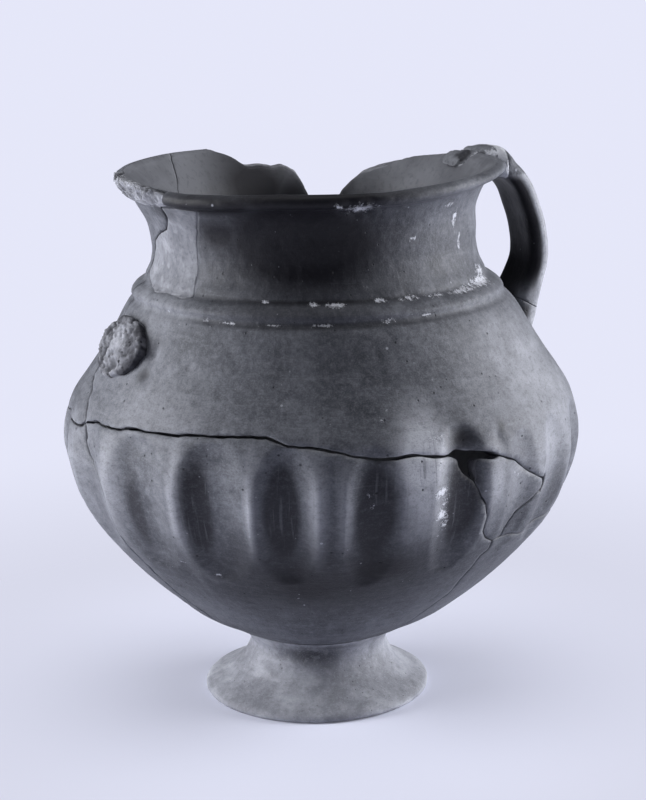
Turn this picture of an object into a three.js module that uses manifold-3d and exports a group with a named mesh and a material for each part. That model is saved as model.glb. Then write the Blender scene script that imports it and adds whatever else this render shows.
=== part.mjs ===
// A dark handmade jar with a ribbed belly on a flaring foot, put together again from its sherds.
// One strap handle survives; the other is lost and has left a broken root on the lip and one below.
// Millimetres and degrees, +Z up. The origin is on the ground in the middle of the jar's box.
// The surviving handle stands out along +X, and angles turn counter-clockwise from it.
import * as THREE from "three";
import Module from "manifold-3d";

const wasm = await Module();
wasm.setup();

// Driving dimensions of the pot
const rimHeight = 205;
const rimRadius = 73.5;
const neckRadius = 61.2;
const ringHeight = 160;
const ringRadius = 72.4;
// The neck is narrowest four ninths of the way from the shoulder ring to the rim
const neckHeight = ringHeight + (rimHeight - ringHeight) * 4 / 9;
const bellyHeight = 106;
const bellyRadius = 99.8;
const footHeight = 27;
const footRadius = 44.2;
const footWaistRadius = 26.6;
const footWaistHeight = 20;
const joinRadius = 31;

// Wall thicknesses and the gaps left between pieces
const neckWall = 6;
const bellyWall = 6.5;
const floorThickness = 9.5;
const crackWidth = 0.6;
const fitGap = 0.35;

// Finger-pressed hollows between the belly's ribs: [angle, half width, share of the full depth].
// The back ones follow evenly on from the last of these round to the first.
const pressDepth = 4.6;
const frontPresses = [
  [-172.5, 7.8, 0.65], [-154.2, 9.8, 0.83], [-135.3, 9, 1], [-119.4, 7, 1.04], [-101.6, 6.2, 0.91],
  [-82, 6.8, 1.04], [-65.5, 5.3, 0.48], [-52, 6.5, 0.65], [-36, 7.8, 0.74],
];
const backPressCount = 11;
const pressTop = bellyHeight + 16;
const pressBottom = bellyHeight - 36;
const columnsPerPress = 4;

// The handmade body bulges a little towards one side of the foot and the mouth
const leanAngle = -22;
const leanByHeight = [[0, -2], [27, -1], [60, 0.2], [100, 1], [130, 1.5], [155, 1], [180, -1], [205, -2]];

// How far the uneven lip stands above or below the rim height, round the mouth
const lipByAngle = [
  [-180, 0.5], [-150, -1.2], [-120, -0.2], [-90, -0.5], [-60, 1.4], [-30, 2.8],
  [0, 3], [30, 2.2], [60, 2], [90, 3], [120, 3], [150, 2], [180, 0.5],
];
const lipBlendHeight = rimHeight - 20;

// The surviving strap handle
const strapWidth = 22.5;
const strapThickness = 8;
const strapReach = 93;

// Breaks and scars are written as measured on the photographed jar, whose ground, foot, belly,
// shoulder ring and rim were at these heights. They keep their place between them on this one.
const measuredHeights = [0, 27, 106, 160, 205];
const landmarks = [0, footHeight, bellyHeight, ringHeight, rimHeight];

const innerSteps = 40;

function lookUp(pairs, position) {
  let index = 1;
  while (index < pairs.length - 1 && pairs[index][0] < position) {
    index += 1;
  }
  const [from, low] = pairs[index - 1];
  const [to, high] = pairs[index];
  const share = THREE.MathUtils.clamp((position - from) / (to - from), 0, 1);
  return low + share * (high - low);
}

function heightOnPot(measured) {
  const last = landmarks.length - 1;
  const overRim = Math.max(measured - measuredHeights[last], 0);
  return lookUp(measuredHeights.map((height, index) => [height, landmarks[index]]), measured) + overRim;
}

// A point of the leaning pot from its radius, its angle and its height
function potPoint(radius, angle, height) {
  const turn = THREE.MathUtils.degToRad(angle);
  const lean = lookUp(leanByHeight, height);
  const leanTurn = THREE.MathUtils.degToRad(leanAngle);
  return new THREE.Vector3(
    radius * Math.cos(turn) + lean * Math.cos(leanTurn),
    radius * Math.sin(turn) + lean * Math.sin(leanTurn),
    height,
  );
}

// A closed body from its corner points and triangles, turned so that its faces point out
function closedBody(points, triangles) {
  let volume = 0;
  for (const [a, b, c] of triangles) {
    volume += points[a].dot(new THREE.Vector3().crossVectors(points[b], points[c]));
  }
  const facingOut = volume > 0 ? triangles : triangles.map(([a, b, c]) => [a, c, b]);
  return new wasm.Manifold(new wasm.Mesh({
    numProp: 3,
    vertProperties: new Float32Array(points.flatMap((point) => point.toArray())),
    triVerts: new Uint32Array(facingOut.flat()),
  }));
}

// A closed body through a row of rings of points, with a centre point closing each end
function bodyFromRings(rings) {
  const count = rings[0].length;
  const points = rings.flat();
  const triangles = [];
  for (let row = 0; row < rings.length - 1; row += 1) {
    for (let column = 0; column < count; column += 1) {
      const here = row * count + column;
      const next = row * count + (column + 1) % count;
      triangles.push([here, next, next + count], [here, next + count, here + count]);
    }
  }
  for (const [row, reversed] of [[0, false], [rings.length - 1, true]]) {
    const centre = new THREE.Vector3();
    rings[row].forEach((point) => centre.addScaledVector(point, 1 / count));
    points.push(centre);
    for (let column = 0; column < count; column += 1) {
      const here = row * count + column;
      const next = row * count + (column + 1) % count;
      const cap = [points.length - 1, next, here];
      triangles.push(reversed ? [cap[0], cap[2], cap[1]] : cap);
    }
  }
  return closedBody(points, triangles);
}

// Heights near the mouth follow the uneven lip
function withLip(height, angle) {
  const share = THREE.MathUtils.smoothstep(height, lipBlendHeight, rimHeight);
  return height + share * lookUp(lipByAngle, angle);
}

function turned(angle) {
  return THREE.MathUtils.euclideanModulo(angle + 180, 360) - 180;
}

function allPresses() {
  const [lastAngle, halfWidth, share] = frontPresses[frontPresses.length - 1];
  const pitch = (frontPresses[0][0] + 360 - lastAngle) / (backPressCount + 1);
  const back = Array.from({ length: backPressCount }, (_, index) => (
    [lastAngle + pitch * (index + 1), halfWidth, share]
  ));
  return [...frontPresses, ...back];
}
const presses = allPresses();

// How far the belly is pressed in: hollows that are pointed at both ends, with narrow ribs between
function pressAt(height, angle) {
  const half = (pressTop - pressBottom) / 2;
  const fromMiddle = Math.abs(height - pressBottom - half) / half;
  const fade = THREE.MathUtils.clamp(1 - fromMiddle ** 2.2, 0, 1);
  const depths = presses.map(([at, halfWidth, share]) => {
    const across = Math.min(Math.abs(turned(angle - at)) / (halfWidth * (0.3 + 0.7 * Math.sqrt(fade))), 1);
    return pressDepth * share * fade ** 0.6 * (1 - across ** 2.2) ** 1.5;
  });
  return Math.max(...depths);
}

// Angles round the outside, the same number from each hollow's middle to the next one's
function outerAngles() {
  return presses.flatMap(([angle], index) => {
    const next = index + 1 < presses.length ? presses[index + 1][0] : presses[0][0] + 360;
    const stride = (next - angle) / columnsPerPress;
    return Array.from({ length: columnsPerPress }, (_, step) => angle + stride * step);
  });
}

function evenAngles(count) {
  return Array.from({ length: count }, (_, step) => 360 * step / count);
}

// Shapes between two named points, as shares of the way out and of the way up
const bowlShape = [
  [0, 0], [0.065, 0.02], [0.153, 0.063], [0.285, 0.127], [0.413, 0.215], [0.574, 0.342],
  [0.735, 0.494], [0.866, 0.646], [0.955, 0.797], [0.997, 0.937],
];
const shoulderShape = [
  [0, 0.1], [0.14, 0.304], [0.342, 0.456], [0.5625, 0.618], [0.757, 0.779], [0.912, 0.922], [1, 0.985],
];
const ringShape = [[-1.7, 0], [-1.1, 1.3], [-2.1, 3.3], [-4.3, 5.1], [-6.3, 6.4], [-6.8, 8]];
const neckShape = [[1, 0], [0.35, 0.35], [0.02, 0.75], [0, 1]];
const flareShape = [[0.08, 0.36], [0.22, 0.56], [0.42, 0.7], [0.68, 0.79]];
const lipShape = [[-1.3, -4.7], [0, -2.8], [-0.5, -1], [-2.5, 0]];
const insideBowlShape = [[0, 0], [0.267, 0.121], [0.558, 0.219], [0.723, 0.395], [0.871, 0.577], [0.993, 0.788]];
const insideShoulderShape = [[0, 0], [0.138, 0.314], [0.523, 0.627], [1, 1]];

function between([fromRadius, fromHeight], [toRadius, toHeight], shape) {
  return shape.map(([out, up]) => [
    fromRadius + out * (toRadius - fromRadius),
    fromHeight + up * (toHeight - fromHeight),
  ]);
}

function outerProfile() {
  const join = [joinRadius, footHeight + fitGap];
  const belly = [bellyRadius, bellyHeight];
  const ringTop = ringShape[ringShape.length - 1];
  const neckFoot = [ringRadius + ringTop[0], ringHeight + ringTop[1]];
  return [
    ...between(join, belly, bowlShape),
    ...between(belly, [ringRadius, ringHeight], shoulderShape),
    ...ringShape.map(([out, up]) => [ringRadius + out, ringHeight + up]),
    ...between([neckRadius, neckFoot[1]], [neckFoot[0], neckHeight], neckShape).slice(1),
    ...between([neckRadius, neckHeight], [rimRadius, rimHeight], flareShape),
    ...lipShape.map(([out, up]) => [rimRadius + out, rimHeight + up]),
  ];
}

function innerProfile() {
  const floorHeight = footHeight + fitGap + floorThickness;
  const floorEdge = [joinRadius + 1, floorHeight + 3];
  const widest = [bellyRadius - bellyWall - 1.4, bellyHeight];
  const belowRing = [ringRadius - bellyWall, ringHeight - 3];
  return [
    [joinRadius - 17, floorHeight],
    ...between(floorEdge, widest, insideBowlShape),
    ...between(widest, belowRing, insideShoulderShape),
    [neckRadius - neckWall + 1.5, ringHeight + 11],
    [neckRadius - neckWall, neckHeight],
    [neckRadius - neckWall + 4, rimHeight - 8],
    [rimRadius - neckWall, rimHeight + 0.5],
    [rimRadius - neckWall + 5, rimHeight + 12],
  ];
}

// The wall's outer radius at a height
function wallRadius(height) {
  return lookUp(outerProfile().map(([radius, at]) => [at, radius]), height);
}

function potRings(profile, angles, pressed, growth = 0) {
  return profile.map(([radius, height]) => angles.map((angle) => {
    const press = pressed ? pressAt(height, angle) : 0;
    return potPoint(radius - press + growth, angle, withLip(height, turned(angle)));
  }));
}

// Cuts through the wall run from well inside it to well outside it, or from past the axis
const clearInside = joinRadius - 6;
const clearOutside = bellyRadius + 18;
const pastAxis = -3;

// A thin slab from rows of four corners: near inner, far inner, far outer, near outer.
// Both of its twisted faces are split along the same diagonal, so it keeps its thickness.
function slabFromRows(rows) {
  const triangles = [];
  for (let row = 0; row < rows.length - 1; row += 1) {
    const [a, b, c, d] = [0, 1, 2, 3].map((corner) => 4 * row + corner);
    const [e, f, g, h] = [a + 4, b + 4, c + 4, d + 4];
    triangles.push([a, b, f], [a, f, e], [b, c, g], [b, g, f], [c, d, h], [c, h, g], [d, a, h], [a, e, h]);
  }
  const last = 4 * (rows.length - 1);
  triangles.push([0, 2, 1], [0, 3, 2], [last, last + 1, last + 2], [last, last + 2, last + 3]);
  return closedBody(rows.flat(), triangles);
}

// A thin radial slab that follows a broken line of [angle, height] points through the wall
function crackSlab(measured, innerRadius = clearInside) {
  const degreeLength = THREE.MathUtils.degToRad((rimRadius + bellyRadius) / 2);
  const line = measured.map(([angle, height]) => [angle, heightOnPot(height)]);
  const points = [line[0]];
  for (let index = 1; index < line.length; index += 1) {
    const [fromAngle, fromHeight] = line[index - 1];
    const [toAngle, toHeight] = line[index];
    const pieces = Math.ceil(Math.abs(toAngle - fromAngle) / 9) || 1;
    for (let piece = 1; piece <= pieces; piece += 1) {
      const share = piece / pieces;
      points.push([fromAngle + share * (toAngle - fromAngle), fromHeight + share * (toHeight - fromHeight)]);
    }
  }
  const rows = points.map(([angle, height], index) => {
    const [beforeAngle, beforeHeight] = points[Math.max(index - 1, 0)];
    const [afterAngle, afterHeight] = points[Math.min(index + 1, points.length - 1)];
    const run = new THREE.Vector2((afterAngle - beforeAngle) * degreeLength, afterHeight - beforeHeight);
    run.normalize().multiplyScalar(crackWidth / 2);
    const turn = THREE.MathUtils.degToRad(angle);
    const outward = new THREE.Vector3(Math.cos(turn), Math.sin(turn), 0);
    const sideways = new THREE.Vector3(-Math.sin(turn), Math.cos(turn), 0).multiplyScalar(-run.y);
    sideways.z = run.x;
    const corner = (radius, side) => outward.clone().multiplyScalar(radius)
      .setZ(height).addScaledVector(sideways, side);
    return [corner(innerRadius, -1), corner(innerRadius, 1), corner(clearOutside, 1), corner(clearOutside, -1)];
  });
  return slabFromRows(rows);
}

// A radial block whose outline is a closed line of [angle, height] points
function radialBlock(measured) {
  const outline = measured.map(([angle, height]) => [angle, heightOnPot(height)]);
  const ring = (radius) => outline.map(([angle, height]) => {
    const turn = THREE.MathUtils.degToRad(angle);
    return new THREE.Vector3(radius * Math.cos(turn), radius * Math.sin(turn), height);
  });
  const shape = outline.map(([angle, height]) => new THREE.Vector2(angle, height));
  const faces = THREE.ShapeUtils.triangulateShape(shape, []);
  const count = outline.length;
  const triangles = [];
  for (const [a, b, c] of faces) {
    triangles.push([a, c, b], [a + count, b + count, c + count]);
  }
  const clockwise = THREE.ShapeUtils.area(shape) < 0;
  for (let here = 0; here < count; here += 1) {
    const next = (here + 1) % count;
    const wall = [[here, next, next + count], [here, next + count, here + count]];
    triangles.push(...(clockwise ? wall.map(([a, b, c]) => [a, c, b]) : wall));
  }
  return closedBody([...ring(clearInside), ...ring(clearOutside)], triangles);
}

// Breaks through the wall, as [angle, height] points read round the pot
const bellyBreak = [
  [-191, 118], [-182, 117.4], [-176, 119.2], [-170, 121.3], [-161, 121.3], [-158, 122.7], [-148, 122.8],
  [-142, 124], [-124, 125], [-119, 122.4], [-111, 121.1], [-104, 118.2], [-99, 117.2], [-90, 117], [-84, 115.6],
];
const ribSherdTop = [[-80, 114], [-74, 113], [-69, 109.4], [-64.5, 103.4], [-59.7, 98.8], [-57, 96]];
const ribSherdSide = [[-81.5, 112], [-81, 106], [-79.4, 99.7], [-76.7, 92.1], [-75, 85], [-73, 81.5], [-70, 78.8]];
const ribSherdRight = [[-57, 96], [-60.2, 94.8], [-65, 88.5], [-66.8, 85], [-67, 80], [-70, 78.8]];
const lowBreak = [[-70.5, 78.8], [-63.6, 79], [-57.8, 77.2], [-50, 79.2], [-40, 81], [0, 86], [60, 98]];
const backBreak = [[59, 98], [90, 103], [120, 109], [150, 115], [169.5, 118.1]];
const bowlLeftBreak = [[-175, 119.8], [-174, 109.5], [-169, 102.7], [-166, 95], [-166, 80], [-163, 60], [-160, 20]];
const bowlFrontBreak = [[-70.2, 79.5], [-70, 75], [-71, 70], [-70.5, 61], [-72, 50], [-75, 20]];
const neckLeftBreak = [
  [-163.5, 214], [-164, 196.5], [-166.6, 191.6], [-170.2, 188.2], [-176, 186.5], [-184, 182.8], [-188.5, 177],
  [-190.7, 171], [-191, 160], [-190, 148], [-187, 136], [-181, 129], [-176, 118.8],
];
const neckBackBreak = [[120, 214], [123, 202], [130, 195], [133, 180], [137, 165], [143, 148], [150, 114]];
const rearBreak = [[65, 183], [64, 165], [69, 145], [73, 128], [70, 99]];
const fillEdge = [
  [-165.5, 198.4], [-149.6, 198.8], [-148.4, 197.2], [-151.5, 191], [-154, 185], [-154.8, 176], [-154, 165.6],
  [-166, 165.4], [-182, 166.6], [-191.5, 171.5],
];

// Missing bits: the hole and the notch at the corners of the rib sherd, and the gap in the back of the rim
const cornerHole = [
  [-85.3, 116.1], [-84, 117], [-79.2, 115.3], [-74.1, 113], [-78.8, 113.3], [-80.5, 113], [-80.5, 106.5],
  [-82.5, 107.4], [-83.5, 113.4],
];
const cornerNotch = [[-60.5, 94.9], [-58.2, 93.1], [-56, 94.5], [-55.8, 97.5], [-58.8, 98.5]];
const rimGap = [
  [107, 214], [105, 205.4], [100, 202.8], [94, 199.6], [86, 199], [78, 198.6], [73.5, 196.8], [71, 193], [69, 188],
  [66, 179], [61, 181],
  [55.7, 188.4], [52.4, 192.8], [48, 197.5], [44, 199], [39, 200.5], [32, 202], [25, 204], [24, 214],
];

// The strap handle's middle line in the XZ plane. Its chipped root lies on the lip, and the strap
// lands on the shoulder under the ring: [share of the way out, share of the way up, near side and
// far side as shares of the width, share of the thickness]
const strapTop = rimHeight + 0.7;
const strapFoot = ringHeight - 24;
const strapFromRim = [
  [-0.559, 0.935, 0.33, 0.52, 0.7],
  [-0.508, 0.95, 0.26, 0.59, 1.2],
  [-0.426, 0.957, 0.19, 0.63, 1.45],
  [-0.313, 0.97, 0.1, 0.65, 1.57],
  [-0.19, 0.981, 0, 0.65, 1.55],
  [-0.077, 0.999, -0.16, 0.63, 1.55],
  [0.046, 0.997, -0.38, 0.6, 1.55],
  [0.138, 0.978, -0.52, 0.56, 1.2],
  [0.262, 0.945, -0.52, 0.53, 1.04],
  [0.436, 0.902, -0.51, 0.52, 1],
  [0.61, 0.836, -0.5, 0.5, 1],
  [0.744, 0.752, -0.5, 0.5, 1],
  [0.851, 0.667, -0.5, 0.5, 1],
  [0.923, 0.577, -0.5, 0.5, 1],
  [0.969, 0.495, -0.5, 0.5, 1],
];
const strapToShoulder = [
  [0.951, 0.409, -0.5, 0.5, 1.02],
  [0.854, 0.323, -0.53, 0.53, 1.06],
  [0.709, 0.222, -0.58, 0.58, 1.17],
  [0.553, 0.115, -0.67, 0.67, 1.3],
  [0.345, 0, -0.76, 0.76, 1.38],
];
const topBreakX = rimRadius + 0.5;
const plasterWidth = 2.8;
const lowerJoinPoint = new THREE.Vector3(ringRadius + 13.4, 0, ringHeight - 11);
const lowerJoinNormal = new THREE.Vector3(0.496, 0, 0.868);

function strapLine() {
  const placed = (rows, innerX) => rows.map(([out, up, near, far, thickness]) => [
    innerX + out * (strapReach - innerX),
    strapFoot + up * (strapTop - strapFoot),
    near * strapWidth,
    far * strapWidth,
    thickness * strapThickness,
  ]);
  return [...placed(strapFromRim, rimRadius), ...placed(strapToShoulder, ringRadius)];
}

function strapBody() {
  const corners = [[-0.5, -0.22], [-0.42, -0.5], [0, -0.5], [0.42, -0.5], [0.5, -0.22],
    [0.5, 0.22], [0.42, 0.5], [0, 0.5], [-0.42, 0.5], [-0.5, 0.22]];
  const line = strapLine();
  return bodyFromRings(line.map(([x, z, near, far, thickness], index) => {
    const before = line[Math.max(index - 1, 0)];
    const after = line[Math.min(index + 1, line.length - 1)];
    const run = new THREE.Vector2(after[0] - before[0], after[1] - before[1]).normalize();
    return corners.map(([across, out]) => new THREE.Vector3(
      x - run.y * out * thickness,
      (near + far) / 2 + across * (far - near),
      z + run.x * out * thickness,
    ));
  }));
}

// The broken upper root of the lost handle, let into the lip: its section is drawn from its middle
function lostRootUpper(growth) {
  const section = [[-3.6, -2.8], [-2.6, -5], [1.6, -3.4], [3.8, 2.2], [2.8, 4.8], [-1.6, 4.3]];
  const middle = [rimRadius - 1.7, rimHeight - 3.4];
  const fades = [[157, 0.25], [161, 0.8], [168, 1], [176, 1], [184, 1], [192, 1], [199, 0.8], [204, 0.25]];
  return bodyFromRings(fades.map(([angle, size], index) => {
    const nudge = index === 0 ? -growth : (index === fades.length - 1 ? growth : 0);
    return section.map(([out, up]) => {
      const offset = new THREE.Vector2(out, up);
      offset.multiplyScalar(size).setLength(offset.length() + growth);
      return potPoint(middle[0] + offset.x, angle + nudge, middle[1] + offset.y);
    });
  }));
}

// The broken lower root: an oval plug set in the shoulder, square to its slope
function lostRootLower(growth) {
  const rootAngle = -177;
  const rootHeight = ringHeight - 14.5;
  const centre = potPoint(wallRadius(rootHeight), rootAngle, rootHeight);
  const turn = THREE.MathUtils.degToRad(rootAngle);
  const outward = new THREE.Vector3(0.87 * Math.cos(turn), 0.87 * Math.sin(turn), 0.49);
  const across = new THREE.Vector3(-Math.sin(turn), Math.cos(turn), 0);
  const up = new THREE.Vector3().crossVectors(outward, across);
  const layers = [[-3.2 - growth, 0.92], [-1, 1], [1.4, 0.97], [2.6, 0.8], [3.1, 0.4]];
  const halfWidth = 18.4;
  const halfHeight = 12.2;
  const steps = 20;
  return bodyFromRings(layers.map(([depth, size]) => Array.from({ length: steps }, (_, step) => {
    const angle = 2 * Math.PI * step / steps;
    return centre.clone()
      .addScaledVector(outward, growth > 0 && depth > 0 ? depth * 3 : depth)
      .addScaledVector(across, Math.cos(angle) * (halfWidth * size + growth))
      .addScaledVector(up, Math.sin(angle) * (halfHeight * size + growth));
  })));
}

// The foot: a solid pedestal, hollowed from below like a trumpet
function footBody() {
  const outline = [
    [0, footHeight - 9], [9, footHeight - 10.5], [15, footHeight - 15], [22, footHeight - 20.5],
    [31, 3.2], [38, 0.8], [footRadius - 4.2, 0], [footRadius - 0.8, 0], [footRadius, 0.9],
    [footRadius - 0.3, 2.6], [footRadius - 3.9, 5], [footRadius - 9.4, 8.2],
    [footWaistRadius + 4.6, 11.3], [footWaistRadius + 1.8, 14.6], [footWaistRadius + 0.2, 17.8],
    [footWaistRadius, footWaistHeight], [footWaistRadius + 1.4, footHeight - 3.6],
    [joinRadius - 0.6, footHeight - 1.2], [joinRadius, footHeight], [0, footHeight],
  ];
  const steps = 48;
  const rings = outline.slice(1, -1).map(([radius, height]) => Array.from({ length: steps }, (_, column) => (
    potPoint(radius, 360 * column / steps, height)
  )));
  return bodyFromRings(rings);
}

// The wall of the pot before it broke, with the handle's own roots on it
function wholeWall(strap) {
  const inside = bodyFromRings(potRings(innerProfile(), evenAngles(innerSteps), false));
  const outside = bodyFromRings(potRings(outerProfile(), outerAngles(), true));
  const upperRoot = strap.trimByPlane([-1, 0, 0], -topBreakX);
  const lowerRoot = strap.trimByPlane(
    lowerJoinNormal.clone().negate().toArray(),
    -lowerJoinNormal.dot(lowerJoinPoint) + fitGap / 2,
  );
  return outside.add(lowerRoot).subtract(inside).add(upperRoot);
}

function brokenWall(strap) {
  let wall = wholeWall(strap).subtract(lostRootUpper(fitGap)).subtract(lostRootLower(fitGap));
  for (const line of [bellyBreak, ribSherdTop, ribSherdSide, ribSherdRight, lowBreak, backBreak]) {
    wall = wall.subtract(crackSlab(line));
  }
  for (const line of [neckLeftBreak, neckBackBreak, rearBreak, fillEdge]) {
    wall = wall.subtract(crackSlab(line));
  }
  for (const line of [bowlLeftBreak, bowlFrontBreak]) {
    wall = wall.subtract(crackSlab(line, pastAxis));
  }
  for (const outline of [cornerHole, cornerNotch, rimGap]) {
    wall = wall.subtract(radialBlock(outline));
  }
  return wall.decompose();
}

// The sherd that holds a spot just under the wall's outer face, at an angle and a measured height
function sherdAt(sherds, angle, measured) {
  const height = heightOnPot(measured);
  const spot = potPoint(wallRadius(height) - 3, angle, height);
  const offsets = [[1, 1, 1], [-1, -1, 1], [-1, 1, -1], [1, -1, -1]];
  const corners = offsets.map((offset) => new THREE.Vector3(...offset).add(spot));
  const probe = closedBody(corners, [[0, 1, 2], [0, 3, 1], [0, 2, 3], [1, 3, 2]]);
  return sherds.find((sherd) => !sherd.intersect(probe).isEmpty());
}

function meshFrom(name, body, material) {
  const mesh = body.getMesh();
  const geometry = new THREE.BufferGeometry();
  geometry.setAttribute("position", new THREE.BufferAttribute(mesh.vertProperties, 3));
  geometry.setIndex(new THREE.BufferAttribute(mesh.triVerts, 1));
  geometry.computeVertexNormals();
  const result = new THREE.Mesh(geometry, material);
  result.name = name;
  return result;
}

const burnishedClay = () => new THREE.MeshStandardMaterial({ color: 0x55565e, roughness: 0.5, metalness: 0 });
const paleClay = () => new THREE.MeshStandardMaterial({ color: 0x8b8d96, roughness: 0.65, metalness: 0 });
const brokenClay = () => new THREE.MeshStandardMaterial({ color: 0x9fa0a8, roughness: 0.95, metalness: 0 });
const plaster = () => new THREE.MeshStandardMaterial({ color: 0x9a9ca6, roughness: 0.9, metalness: 0 });

const strap = strapBody();
const sherds = brokenWall(strap);
const beyondPlaster = topBreakX + plasterWidth + fitGap;
const clearOfWall = bodyFromRings(potRings(outerProfile(), outerAngles(), false, fitGap));
const handle = strap
  .trimByPlane([1, 0, 0], beyondPlaster)
  .trimByPlane(lowerJoinNormal.toArray(), lowerJoinNormal.dot(lowerJoinPoint) + fitGap / 2)
  .subtract(clearOfWall);
const handleFill = strap
  .trimByPlane([1, 0, 0], topBreakX + fitGap)
  .trimByPlane([-1, 0, 0], -topBreakX - plasterWidth)
  .trimByPlane([0, 0, 1], ringHeight);

const jar = new THREE.Group();
jar.add(
  meshFrom("foot", footBody(), paleClay()),
  meshFrom("bowl_front", sherdAt(sherds, -120, 90), burnishedClay()),
  meshFrom("bowl_back", sherdAt(sherds, 60, 60), burnishedClay()),
  meshFrom("rib_sherd", sherdAt(sherds, -70, 100), burnishedClay()),
  meshFrom("shoulder_front", sherdAt(sherds, -100, 140), burnishedClay()),
  meshFrom("shoulder_back", sherdAt(sherds, 100, 140), burnishedClay()),
  meshFrom("shoulder_left", sherdAt(sherds, 150, 175), burnishedClay()),
  meshFrom("neck_fill", sherdAt(sherds, -160, 180), plaster()),
  meshFrom("handle", handle, burnishedClay()),
  meshFrom("handle_fill", handleFill, plaster()),
  meshFrom("lost_handle_upper_root", lostRootUpper(0), brokenClay()),
  meshFrom("lost_handle_lower_root", lostRootLower(0), brokenClay()),
);

export default jar;
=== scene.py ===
# A dark handmade jar with a ribbed belly, put together again from its sherds.
# Lengths below are millimetres and angles degrees until a mesh is made, which is in metres.
# +Z is up, +X points at the surviving handle, and the origin is on the ground.
import math

import bpy
import numpy as np
from mathutils import Matrix, Vector


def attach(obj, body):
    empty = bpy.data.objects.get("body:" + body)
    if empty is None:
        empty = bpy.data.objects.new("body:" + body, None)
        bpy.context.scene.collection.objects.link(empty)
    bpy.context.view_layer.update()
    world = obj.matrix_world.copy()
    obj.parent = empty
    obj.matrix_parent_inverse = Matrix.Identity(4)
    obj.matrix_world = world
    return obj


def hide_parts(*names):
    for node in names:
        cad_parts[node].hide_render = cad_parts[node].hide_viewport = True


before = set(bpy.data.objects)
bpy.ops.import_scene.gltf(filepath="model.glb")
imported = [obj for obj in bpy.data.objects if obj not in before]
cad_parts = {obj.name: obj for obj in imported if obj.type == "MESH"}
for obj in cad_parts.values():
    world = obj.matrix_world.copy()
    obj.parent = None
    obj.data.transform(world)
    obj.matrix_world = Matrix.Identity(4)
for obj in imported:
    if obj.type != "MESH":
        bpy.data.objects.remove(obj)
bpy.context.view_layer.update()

MM = 0.001

# Driving sizes of the pot
RIM_HEIGHT = 205.0
RIM_RADIUS = 73.5
NECK_HEIGHT = 180.0
NECK_RADIUS = 61.2
RING_HEIGHT = 160.0
RING_RADIUS = 72.4
BELLY_HEIGHT = 106.0
BELLY_RADIUS = 99.8
FOOT_HEIGHT = 27.0
JOIN_RADIUS = 31.0
CELL_ANGLE = 0.8
CELL_LENGTH = 1.3
ARC_RADIUS = 85.0

LEAN_ANGLE = -22.0
LEAN_HEIGHTS = [0, 27, 60, 100, 130, 155, 180, 205]
LEANS = [-2, -1, 0.2, 1, 1.5, 1, -1, -2]

LIP_ANGLES = [-180, -150, -120, -90, -60, -30, 0, 30, 60, 90, 120, 150, 180]
LIP_RISES = [0.5, -1.2, -0.2, -0.5, 1.4, 2.8, 3.0, 2.2, 2, 3, 3, 2, 0.5]

# Outer outline of the wall from the middle of the underside to the top of the lip: [radius, height]
OUTLINE = np.array([
    [0, 27.35], [12, 27.35], [24, 27.35], [JOIN_RADIUS, 27.4], [35.5, 28.9], [41.5, 32.3], [50.6, 37.3],
    [59.4, 44.3], [70.5, 54.2], [81.6, 66.2], [90.6, 78.1], [96.7, 90], [99.3, 100], [BELLY_RADIUS, BELLY_HEIGHT],
    [99.0, 113], [96, 122], [90.4, 130.3], [84.4, 138.7], [79.1, 147], [74.9, 154.5], [72.3, 158.2],
    [70.9, 159.4], [70.6, 160.2], [71.3, 161.4], [70.8, 162.8], [69.2, 164.3], [67.4, 165.4], [66.0, 166.0],
    [65.3, 166.9], [64.8, 168.6], [62.6, 172.2], [61.3, 177], [NECK_RADIUS, 181], [62.2, 189], [63.9, 194],
    [66.4, 197.6], [69.0, 199.4], [71.4, 199.9], [72.9, 200.7], [RIM_RADIUS, 202.2], [73.1, 203.8], [71.9, 204.7],
    [70.6, 205.0],
])
# Inner outline beside it, at the same shares of the way up
INLINE = np.array([
    [0, 37], [12, 37.1], [24, 38.2], [30, 39.4], [33, 40.2], [39, 42.2], [46.5, 46.4],
    [54.6, 52.5], [65, 61], [75.5, 71.4], [84.0, 81.6], [89.8, 91.6], [92.2, 100.6], [92.9, 106],
    [92.2, 112], [89.2, 120], [84.2, 127], [78.4, 135], [73.2, 143], [68.9, 150], [66.0, 155],
    [64.4, 157.6], [63.6, 159], [62.6, 160.6], [61.4, 162.4], [60.2, 164], [59.0, 165.8], [58.2, 167.2],
    [57.6, 168.6], [57.0, 170.4], [56.0, 174], [55.3, 178], [55.2, 182], [56.4, 189.4], [58.2, 193.6],
    [60.4, 196.4], [62.4, 198.6], [64, 200.2], [65.2, 201.6], [66.4, 202.9], [67.4, 203.9], [68.6, 204.7],
    [69.7, 205.0],
])

# Finger-pressed flutes: [angle, half width, depth, lowest height, highest height]
FLUTES = [
    [-172.5, 7.8, 3.0, 71, 121], [-154.2, 9.8, 3.9, 70, 121], [-135.3, 9, 4.7, 69, 122], [-119.4, 7, 4.9, 70, 122],
    [-110.3, 2.5, 1.0, 80, 119], [-101.6, 6.2, 4.2, 68, 121], [-82, 6.8, 4.9, 70, 126], [-65.5, 5.3, 2.2, 74, 120],
    [-52, 6.5, 3.0, 72, 121], [-36, 7.8, 3.4, 72, 120],
]
# The back ones follow evenly on from the last of these round to the first
BACK_FLUTES = [[angle, 7.8, 3.4, 71, 120] for angle in np.linspace(-36, 187.5, 13)[1:-1]]


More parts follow.
